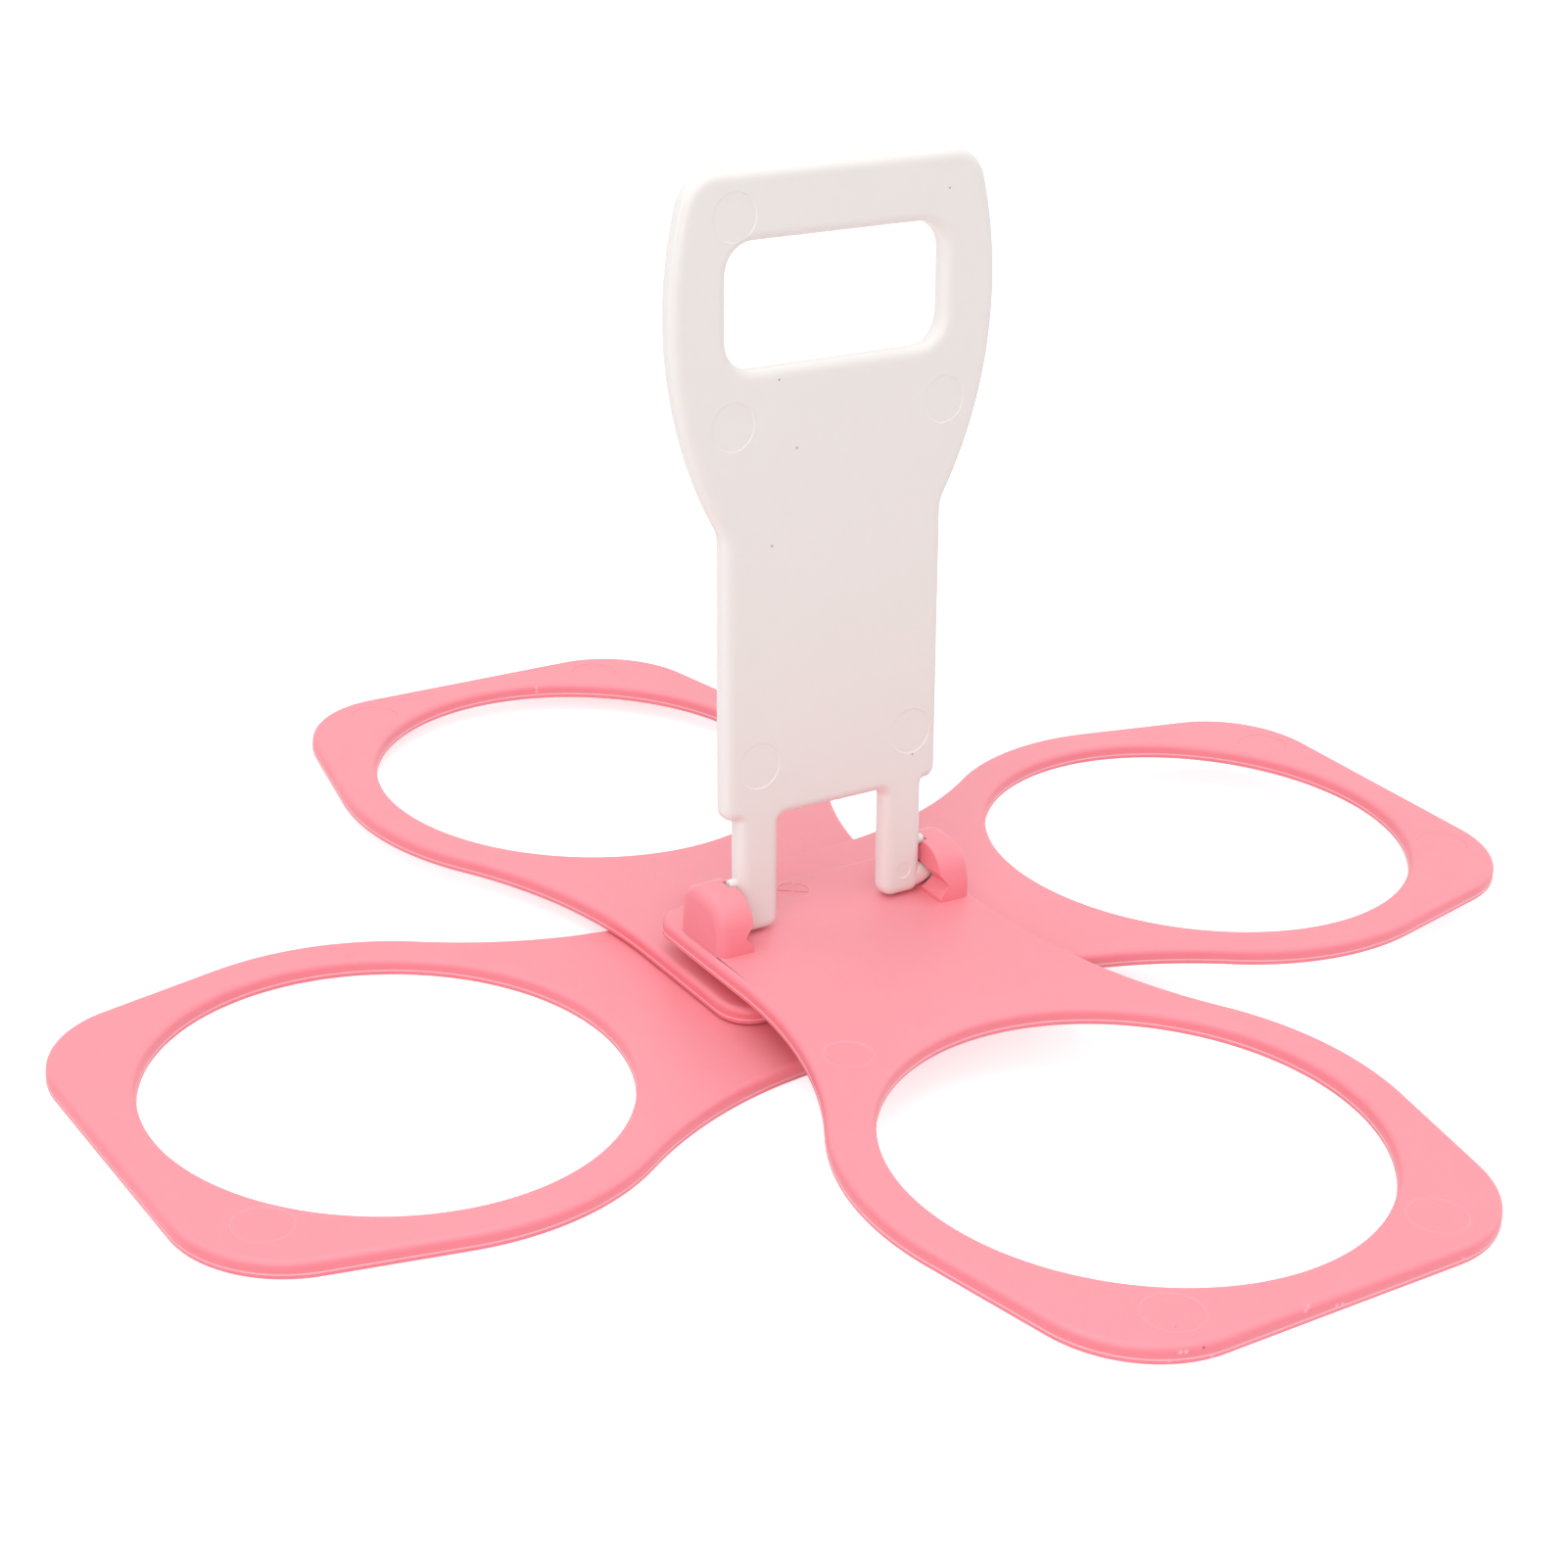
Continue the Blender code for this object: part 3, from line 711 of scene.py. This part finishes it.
# Noise values between which a pattern comes in, and the share of the finer of two patterns
TONE_RANGE = (0.3, 0.7)
WEAR_RANGE = (0.42, 0.68)
MOTTLE_SHARE = 0.25
GRAIN_SHARE = 0.35

# Where a mark fades out: a speck in its cells, a dot in shares of its size, a painted highlight line in
# millimetres
SPECK_FADE = (0.022, 0.04)
DOT_FADE = (0.5, 1.1)
RING_HIGHLIGHT_FADE = (0.08, 0.28)
PARTING_HIGHLIGHT_FADE = (0.06, 0.2)

# How strong the painted highlights and the pale nicks are, and the size of a nick
PARTING_HIGHLIGHT_STRENGTH = 0.85
RING_HIGHLIGHT_STRENGTH = 0.22
NICK_STRENGTH = 0.6
NICK = 0.38

# Rims are painted with shade on the pink plastic and with light on the white, more as they turn from the
# flat face.
# Over the fade height above the petals, in millimetres, the painted tone drops to the share that the
# plastic gives it there.
RIM_PAINT_TURN_RANGE = (0.3, 0.9)
RIM_PAINT_FADE = 0.8

# The surface, and how far light glows inside the plastic
GLOSS_SPREAD = 0.07
GRAIN_STRENGTH = 0.25
GRAIN_DEPTH = 0.05
REFRACTION = 1.49
GLOW_RADIUS = (1.0, 0.35, 0.3)
GLOW_SCALE = 1.2


def add_socket(group, name, direction, kind):
    group.interface.new_socket(name=name, in_out=direction, socket_type=kind)


def new_group(name):
    group = bpy.data.node_groups.new(name, "ShaderNodeTree")
    return group, group.nodes.new("NodeGroupInput"), group.nodes.new("NodeGroupOutput")


def add_node(tree, kind, **values):
    node = tree.nodes.new(kind)
    for name, value in values.items():
        setattr(node, name, value)
    return node


def noise(tree, vector, scale, detail, roughness=0.5):
    """A cloudy pattern, about 0 to 1."""
    node = add_node(tree, "ShaderNodeTexNoise")
    node.inputs["Scale"].default_value = scale
    node.inputs["Detail"].default_value = detail
    node.inputs["Roughness"].default_value = roughness
    tree.links.new(vector, node.inputs["Vector"])
    return node.outputs["Fac"]


def remap(tree, value, low, high, to_low, to_high):
    node = add_node(tree, "ShaderNodeMapRange", clamp=True)
    node.inputs["From Min"].default_value = low
    node.inputs["From Max"].default_value = high
    node.inputs["To Min"].default_value = to_low
    node.inputs["To Max"].default_value = to_high
    tree.links.new(value, node.inputs["Value"])
    return node.outputs["Result"]


def maths(tree, operation, *values):
    node = add_node(tree, "ShaderNodeMath", operation=operation)
    for socket, value in zip(node.inputs, values):
        if isinstance(value, (int, float)):
            socket.default_value = value
        else:
            tree.links.new(value, socket)
    return node.outputs[0]


def blend_colours(tree, amount, first, second):
    """The first colour where the amount is 0 and the second, a socket or plain numbers, where it is 1."""
    node = add_node(tree, "ShaderNodeMix", data_type="RGBA")
    tree.links.new(amount, node.inputs["Factor"])
    tree.links.new(first, node.inputs[6])
    if isinstance(second, tuple):
        node.inputs[7].default_value = second
    else:
        tree.links.new(second, node.inputs[7])
    return node.outputs[2]


def make_tone_group():
    """Slow drift of the pigment through the moulding and a faint mottle from the melt."""
    group, given, result = new_group("moulding_tone")
    add_socket(group, "Vector", "INPUT", "NodeSocketVector")
    add_socket(group, "Main", "INPUT", "NodeSocketColor")
    add_socket(group, "Deep", "INPUT", "NodeSocketColor")
    add_socket(group, "Drift", "INPUT", "NodeSocketFloat")
    add_socket(group, "Color", "OUTPUT", "NodeSocketColor")
    slow = noise(group, given.outputs["Vector"], DRIFT_SCALE, detail=2)
    fine = noise(group, given.outputs["Vector"], MOTTLE_SCALE, detail=4, roughness=0.6)
    drift = maths(group, "MULTIPLY", remap(group, slow, *TONE_RANGE, 0, 1), 1 - MOTTLE_SHARE)
    mottle = maths(group, "MULTIPLY", remap(group, fine, *TONE_RANGE, 0, 1), MOTTLE_SHARE)
    amount = maths(group, "MULTIPLY", maths(group, "ADD", drift, mottle), given.outputs["Drift"])
    colour = blend_colours(group, amount, given.outputs["Main"], given.outputs["Deep"])
    group.links.new(colour, result.inputs["Color"])
    return group


def make_grain_group():
    """Fine spark grain of the mould's faces, as a height and as a mask for the gloss."""
    group, given, result = new_group("moulding_grain")
    add_socket(group, "Vector", "INPUT", "NodeSocketVector")
    add_socket(group, "Height", "OUTPUT", "NodeSocketFloat")
    add_socket(group, "Wear", "OUTPUT", "NodeSocketFloat")
    fine = noise(group, given.outputs["Vector"], GRAIN_SCALE, detail=3)
    wave = noise(group, given.outputs["Vector"], WAVE_SCALE, detail=2)
    height = maths(group, "ADD", maths(group, "MULTIPLY", fine, GRAIN_SHARE), wave)
    group.links.new(height, result.inputs["Height"])
    wear = noise(group, given.outputs["Vector"], WEAR_SCALE, detail=5, roughness=0.65)
    group.links.new(remap(group, wear, *WEAR_RANGE, 0, 1), result.inputs["Wear"])
    return group


def make_speck_group():
    """Sparse tiny inclusions in the plastic: a mask of dots, here and there."""
    group, given, result = new_group("moulding_specks")
    add_socket(group, "Vector", "INPUT", "NodeSocketVector")
    add_socket(group, "Share", "INPUT", "NodeSocketFloat")
    add_socket(group, "Mask", "OUTPUT", "NodeSocketFloat")
    cells = add_node(group, "ShaderNodeTexVoronoi")
    cells.inputs["Scale"].default_value = SPECK_SCALE
    group.links.new(given.outputs["Vector"], cells.inputs["Vector"])
    dot = remap(group, cells.outputs["Distance"], *SPECK_FADE, 1, 0)
    parts = add_node(group, "ShaderNodeSeparateColor")
    group.links.new(cells.outputs["Color"], parts.inputs["Color"])
    rare = maths(group, "LESS_THAN", parts.outputs[0], given.outputs["Share"])
    group.links.new(maths(group, "MULTIPLY", dot, rare), result.inputs["Mask"])
    return group


def make_spot_group():
    """A soft-edged dot at a known place, for an inclusion or a nick."""
    group, given, result = new_group("moulding_spot")
    add_socket(group, "Vector", "INPUT", "NodeSocketVector")
    add_socket(group, "Centre", "INPUT", "NodeSocketVector")
    add_socket(group, "Size", "INPUT", "NodeSocketFloat")
    add_socket(group, "Mask", "OUTPUT", "NodeSocketFloat")
    apart = add_node(group, "ShaderNodeVectorMath", operation="DISTANCE")
    group.links.new(given.outputs["Vector"], apart.inputs[0])
    group.links.new(given.outputs["Centre"], apart.inputs[1])
    share = maths(group, "DIVIDE", apart.outputs["Value"], given.outputs["Size"])
    group.links.new(remap(group, share, *DOT_FADE, 1, 0), result.inputs["Mask"])
    return group


def make_ring_highlight_group():
    """A painted highlight: the thin pale line round an ejector mark. Heights count double, so that it
    stays on the face.
    """
    group, given, result = new_group("ejector_ring_highlight")
    add_socket(group, "Vector", "INPUT", "NodeSocketVector")
    add_socket(group, "Centre", "INPUT", "NodeSocketVector")
    add_socket(group, "Radius", "INPUT", "NodeSocketFloat")
    add_socket(group, "Mask", "OUTPUT", "NodeSocketFloat")
    apart = add_node(group, "ShaderNodeVectorMath", operation="SUBTRACT")
    group.links.new(given.outputs["Vector"], apart.inputs[0])
    group.links.new(given.outputs["Centre"], apart.inputs[1])
    stretched = add_node(group, "ShaderNodeVectorMath", operation="MULTIPLY")
    group.links.new(apart.outputs[0], stretched.inputs[0])
    stretched.inputs[1].default_value = (1, 1, 2)
    length = add_node(group, "ShaderNodeVectorMath", operation="LENGTH")
    group.links.new(stretched.outputs[0], length.inputs[0])
    outside = maths(group, "SUBTRACT", length.outputs["Value"], given.outputs["Radius"])
    off = maths(group, "ABSOLUTE", outside)
    near, far = RING_HIGHLIGHT_FADE
    group.links.new(remap(group, off, near * MM, far * MM, 1, 0), result.inputs["Mask"])
    return group


def make_parting_highlight_group():
    """A painted highlight on the fine line where the two halves of the petals' mould met, a little above
    each underside.
    """
    group, given, result = new_group("parting_line_highlight")
    add_socket(group, "Vector", "INPUT", "NodeSocketVector")
    add_socket(group, "Mask", "OUTPUT", "NodeSocketFloat")
    parts = add_node(group, "ShaderNodeSeparateXYZ")
    group.links.new(given.outputs["Vector"], parts.inputs["Vector"])
    height = maths(group, "MODULO", parts.outputs["Z"], LEVEL * MM)
    off = maths(group, "ABSOLUTE", maths(group, "SUBTRACT", height, LEDGE_LEVEL * MM))
    near, far = PARTING_HIGHLIGHT_FADE
    line = remap(group, off, near * MM, far * MM, 1, 0)
    on_petal = maths(group, "LESS_THAN", parts.outputs["Z"], TOP_FACE * MM)
    group.links.new(maths(group, "MULTIPLY", line, on_petal), result.inputs["Mask"])
    return group


def paint_rim_light_and_shade(tree, surface, colour, edge, flat_axis, rim_paint_share_above):
    """Paints light and shade on the rims, stronger as the face turns from flat. Above the petals it keeps
    only a share.
    """
    parts = add_node(tree, "ShaderNodeSeparateXYZ")
    tree.links.new(surface.outputs["Normal"], parts.inputs["Vector"])
    turned = remap(tree, maths(tree, "ABSOLUTE", parts.outputs[flat_axis]), *RIM_PAINT_TURN_RANGE, 1, 0)
    height = add_node(tree, "ShaderNodeSeparateXYZ")
    tree.links.new(surface.outputs["Object"], height.inputs["Vector"])
    share = remap(tree, height.outputs["Z"], TOP_FACE * MM, (TOP_FACE + RIM_PAINT_FADE) * MM, 1, rim_paint_share_above)
    return blend_colours(tree, maths(tree, "MULTIPLY", turned, share), colour, edge)


def dot_at(tree, here, centre, size):
    """The mask of one soft-edged dot."""
    dot = add_node(tree, "ShaderNodeGroup", node_tree=SPOT)
    dot.inputs["Centre"].default_value = [value * MM for value in centre]
    dot.inputs["Size"].default_value = size * MM
    tree.links.new(here, dot.inputs["Vector"])
    return dot.outputs["Mask"]


def ring_highlight_at(tree, here, centre, radius):
    """The mask of the painted highlight round one ejector mark."""
    ring_highlight = add_node(tree, "ShaderNodeGroup", node_tree=RING_HIGHLIGHT)
    ring_highlight.inputs["Centre"].default_value = [value * MM for value in centre]
    ring_highlight.inputs["Radius"].default_value = radius * MM
    tree.links.new(here, ring_highlight.inputs["Vector"])
    return ring_highlight.outputs["Mask"]


def painted_highlights_and_nicks(tree, here, ring_highlights):
    """Painted highlights along the parting line and round the ejector marks, and the pale nicks."""
    parting = add_node(tree, "ShaderNodeGroup", node_tree=PARTING_HIGHLIGHT)
    tree.links.new(here, parting.inputs["Vector"])
    pale = maths(tree, "MULTIPLY", parting.outputs["Mask"], PARTING_HIGHLIGHT_STRENGTH)
    for centre, radius in ring_highlights:
        ring_highlight = maths(tree, "MULTIPLY", ring_highlight_at(tree, here, centre, radius), RING_HIGHLIGHT_STRENGTH)
        pale = maths(tree, "MAXIMUM", pale, ring_highlight)
    for centre in NICKS:
        nick = maths(tree, "MULTIPLY", dot_at(tree, here, centre, NICK), NICK_STRENGTH)
        pale = maths(tree, "MAXIMUM", pale, nick)
    return pale


def make_plastic(
    name,
    main,
    deep,
    drift,
    edge,
    flat_axis,
    rim_paint_above,
    speck,
    speck_share,
    spots,
    roughness,
    glow,
    line=None,
    ring_highlights=(),
):
    """One satin plastic: a drifting tone, rims painted with light and shade, painted highlights along the
    mould lines, specks, a gloss that varies a little and grain.
    """
    material = bpy.data.materials.new(name)
    material.use_nodes = True
    tree = material.node_tree
    shader = tree.nodes["Principled BSDF"]
    surface = add_node(tree, "ShaderNodeTexCoord")
    here = surface.outputs["Object"]
    tone = add_node(tree, "ShaderNodeGroup", node_tree=TONE)
    tone.inputs["Main"].default_value = main
    tone.inputs["Deep"].default_value = deep
    tone.inputs["Drift"].default_value = drift
    grain = add_node(tree, "ShaderNodeGroup", node_tree=GRAIN)
    specks = add_node(tree, "ShaderNodeGroup", node_tree=SPECKS)
    specks.inputs["Share"].default_value = speck_share
    for node in (tone, grain, specks):
        tree.links.new(here, node.inputs["Vector"])
    dark = specks.outputs["Mask"]
    for centre, size in spots:
        dark = maths(tree, "MAXIMUM", dark, dot_at(tree, here, centre, size))
    # The rims get painted shade on the pink plastic and painted light on the white
    colour = paint_rim_light_and_shade(tree, surface, tone.outputs["Color"], edge, flat_axis, rim_paint_above)
    # Painted highlights along the parting line and round the ejector marks, and the pale nicks
    if line:
        colour = blend_colours(tree, painted_highlights_and_nicks(tree, here, ring_highlights), colour, line)
    colour = blend_colours(tree, dark, colour, speck)
    tree.links.new(colour, shader.inputs["Base Color"])
    gloss = remap(tree, grain.outputs["Wear"], 0, 1, roughness, roughness + GLOSS_SPREAD)
    tree.links.new(gloss, shader.inputs["Roughness"])
    bump = add_node(tree, "ShaderNodeBump")
    bump.inputs["Strength"].default_value = GRAIN_STRENGTH
    bump.inputs["Distance"].default_value = GRAIN_DEPTH * MM
    tree.links.new(grain.outputs["Height"], bump.inputs["Height"])
    tree.links.new(bump.outputs["Normal"], shader.inputs["Normal"])
    shader.inputs["IOR"].default_value = REFRACTION
    shader.inputs["Subsurface Weight"].default_value = glow
    shader.inputs["Subsurface Radius"].default_value = GLOW_RADIUS
    shader.inputs["Subsurface Scale"].default_value = GLOW_SCALE * MM
    return material


TONE = make_tone_group()
GRAIN = make_grain_group()
SPECKS = make_speck_group()
SPOT = make_spot_group()
RING_HIGHLIGHT = make_ring_highlight_group()
PARTING_HIGHLIGHT = make_parting_highlight_group()


def petal_rings(marks, level, turn):
    """Where a petal's marks lie once it is in its place."""
    placed = Matrix.Translation((0, 0, level * LEVEL)) @ Matrix.Rotation(math.radians(turn), 4, "Z")
    return [(placed @ Vector((x, y, PLATE)), radius) for x, y, radius in marks]


# Inclusions, with their sizes, and nicks, at their places in the frame
PINK_SPOTS = [((-26.7, -132.2, 12.2), 0.21), ((-27.5, -127.1, 12.9), 0.18)]
NICKS = [
    (-8.2, -132.6, 12.3),
    (-7.5, -132.3, 12.6),
    (-2.2, -132.8, 11.3),
    (-1.1, -132.8, 11.2),
    (-30.1, -131.3, 12.0),
    (-29.3, -131.6, 12.0),
    (-31.5, -130.8, 10.8),
    (-25.3, -132.6, 10.6),
    (22.8, -132.7, 11.1),
    (11.2, 123.4, 5.0),
    (11.3, 123.6, 5.8),
]
WHITE_SPOTS = [
    ((21.6, 9.0, 136.7), 0.24),
    ((-11.7, 6.5, 109.0), 0.24),
    ((-8.2, 5.5, 97.3), 0.27),
    ((-13.0, 4.1, 81.5), 0.27),
    ((16.4, 0.5, 39.5), 0.24),
]
PINK = make_plastic(
    "pink_plastic",
    main=(0.94, 0.318, 0.37, 1),
    deep=(0.91, 0.285, 0.335, 1),
    drift=0.35,
    # edge: painted shade on the petals' rims
    edge=(0.91, 0.225, 0.28, 1),
    flat_axis="Z",
    rim_paint_above=0.6,
    speck=(0.35, 0.07, 0.08, 1),
    speck_share=0.006,
    spots=PINK_SPOTS,
    roughness=0.40,
    glow=0.3,
    # line: the colour of the painted highlights and of the pale nicks
    line=(1.0, 0.55, 0.60, 1),
    # Where the painted highlight rings round the ejector marks lie
    ring_highlights=petal_rings(FRONT_MARKS + [CROSS_MARK], *FRONT_PLACE) + petal_rings(LEFT_MARKS, *LEFT_PLACE),
)
WHITE = make_plastic(
    "white_plastic",
    main=(0.82, 0.775, 0.745, 1),
    deep=(0.79, 0.74, 0.71, 1),
    drift=0.4,
    # edge: painted light on the handle's rims
    edge=(0.90, 0.865, 0.84, 1),
    flat_axis="Y",
    rim_paint_above=1.0,
    speck=(0.42, 0.37, 0.33, 1),
    speck_share=0.012,
    spots=WHITE_SPOTS,
    roughness=0.42,
    glow=0.10,
)


# The pieces in place

def dress(piece, body, node, material):
    take(piece)
    piece.data.materials.clear()
    piece.data.materials.append(material)
    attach(piece, body)
    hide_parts(node)


front = draw_petal("front_petal_moulding")
right = copy_of(front, "right_petal_moulding")
back = copy_of(front, "back_petal_moulding")
left = copy_of(front, "left_petal_moulding")

for petal, marks in ((front, FRONT_MARKS), (right, END_MARKS), (back, END_MARKS), (left, LEFT_MARKS)):
    for x, y, radius in marks:
        press_mark(petal, x, y, PLATE, radius)
add_fan_work(front, groove=False, lug=True)
add_fan_work(right, groove=True, lug=True)
add_fan_work(back, groove=True, lug=True)
add_fan_work(left, groove=True, lug=False)
work_in(left, rod("cap_recess", RECESS, -SPARE, RECESS_DEPTH), "DIFFERENCE")
add_boss(front)
add_knuckles(front)
x, y, radius = CROSS_MARK
press_cross(front, x, y, PLATE, radius)
soften(front, foot_of_knuckle, KNUCKLE_FOOT, segments=3)

places = (front, FRONT_PLACE), (right, RIGHT_PLACE), (back, BACK_PLACE), (left, LEFT_PLACE)
for petal, (level, turn) in places:
    place(petal, (0, 0, level * LEVEL), (0, 0, math.radians(turn)))
    finish_surface(petal)

handle = draw_handle()
for x, y, radius in HANDLE_MARKS:
    press_mark(handle, x, y, HANDLE_HALF, radius)
add_pins(handle)
place(handle, (0, HINGE_BACK, TOP_FACE + AXIS_RISE), (math.pi / 2 - LEAN, 0, 0))
finish_surface(handle)

cap = turn_cap()
finish_surface(cap)

dress(front, "top_arm", "front_petal", PINK)
dress(right, "right_arm", "right_petal", PINK)
dress(back, "back_arm", "back_petal", PINK)
dress(left, "left_arm", "left_petal", PINK)
dress(cap, "top_arm", "pivot_cap", PINK)
dress(handle, "grip", "handle", WHITE)


# Studio, in metres

FLOOR_SIZE = 8
FLOOR_TONE = (0.82, 0.82, 0.82, 1)
FLOOR_ROUGHNESS = 0.9
FLOOR_LIFT = 0.62
SKY_TONE = (0.98, 0.99, 1.0, 1)
SKY_STRENGTH = 0.55
LAMP_AIM = (0, 0, 0.04)

# The photograph's camera
FOCAL_PIXELS = 3115.9
PHOTO_PIXELS = 1601
SENSOR = 36
CAMERA_PLACE = (-0.2783, -0.3850, 0.25595)
CAMERA_TURN = math.radians(-34.8)
CAMERA_TILT = math.radians(90 - 24.764)
CAMERA_ROLL = math.radians(3.335)


def seen_by_eye(tree):
    """1 where the camera sees a surface, straight on, mirrored or through something clear."""
    path = add_node(tree, "ShaderNodeLightPath")
    seen = maths(tree, "MAXIMUM", path.outputs["Is Camera Ray"], path.outputs["Is Glossy Ray"])
    return maths(tree, "MAXIMUM", seen, path.outputs["Is Transmission Ray"])


def make_floor():
    """A plain pale floor that takes the soft shadow. To the eye it is lifted to white."""
    put_down()
    bpy.ops.mesh.primitive_plane_add(size=FLOOR_SIZE, location=(0, 0, 0))
    floor = bpy.context.object
    floor.name = "floor"
    material = bpy.data.materials.new("pale_floor")
    material.use_nodes = True
    tree = material.node_tree
    shader = tree.nodes["Principled BSDF"]
    shader.inputs["Base Color"].default_value = FLOOR_TONE
    shader.inputs["Roughness"].default_value = FLOOR_ROUGHNESS
    shader.inputs["Emission Color"].default_value = (1, 1, 1, 1)
    lift = maths(tree, "MULTIPLY", seen_by_eye(tree), FLOOR_LIFT)
    tree.links.new(lift, shader.inputs["Emission Strength"])
    floor.data.materials.append(material)


def make_backdrop():
    """Soft light from all round, which the eye sees as plain white."""
    world = bpy.data.worlds.new("studio")
    bpy.context.scene.world = world
    world.use_nodes = True
    tree = world.node_tree
    tree.nodes.clear()
    soft = add_node(tree, "ShaderNodeBackground")
    soft.inputs["Color"].default_value = SKY_TONE
    soft.inputs["Strength"].default_value = SKY_STRENGTH
    white = add_node(tree, "ShaderNodeBackground")
    white.inputs["Color"].default_value = (1, 1, 1, 1)
    white.inputs["Strength"].default_value = 1.0
    mix = add_node(tree, "ShaderNodeMixShader")
    tree.links.new(seen_by_eye(tree), mix.inputs[0])
    tree.links.new(soft.outputs[0], mix.inputs[1])
    tree.links.new(white.outputs[0], mix.inputs[2])
    tree.links.new(mix.outputs[0], add_node(tree, "ShaderNodeOutputWorld").inputs["Surface"])


def softbox(name, where, size, power):
    """A square lamp that is turned towards the carrier."""
    data = bpy.data.lights.new(name, "AREA")
    data.shape = "SQUARE"
    data.size = size
    data.energy = power
    lamp = bpy.data.objects.new(name, data)
    bpy.context.scene.collection.objects.link(lamp)
    lamp.location = where
    lamp.rotation_euler = (Vector(LAMP_AIM) - Vector(where)).to_track_quat("-Z", "Y").to_euler()


def set_camera():
    data = bpy.data.cameras.new("camera")
    data.sensor_width = SENSOR
    data.lens = FOCAL_PIXELS / PHOTO_PIXELS * SENSOR
    data.clip_start, data.clip_end = 0.01, 50
    camera = bpy.data.objects.new("camera", data)
    bpy.context.scene.collection.objects.link(camera)
    camera.matrix_world = (
        Matrix.Translation(CAMERA_PLACE)
        @ Matrix.Rotation(CAMERA_TURN, 4, "Z")
        @ Matrix.Rotation(CAMERA_TILT, 4, "X")
        @ Matrix.Rotation(CAMERA_ROLL, 4, "Z")
    )
    bpy.context.scene.camera = camera


make_floor()
make_backdrop()
softbox("top_softbox", (-0.2, 0.05, 1.25), size=1.4, power=8.2)
softbox("front_softbox", (-0.9, -1.0, 0.75), size=0.9, power=6.8)
softbox("right_softbox", (1.1, -0.3, 0.7), size=0.8, power=2)
set_camera()
bpy.context.scene.view_settings.view_transform = "Standard"
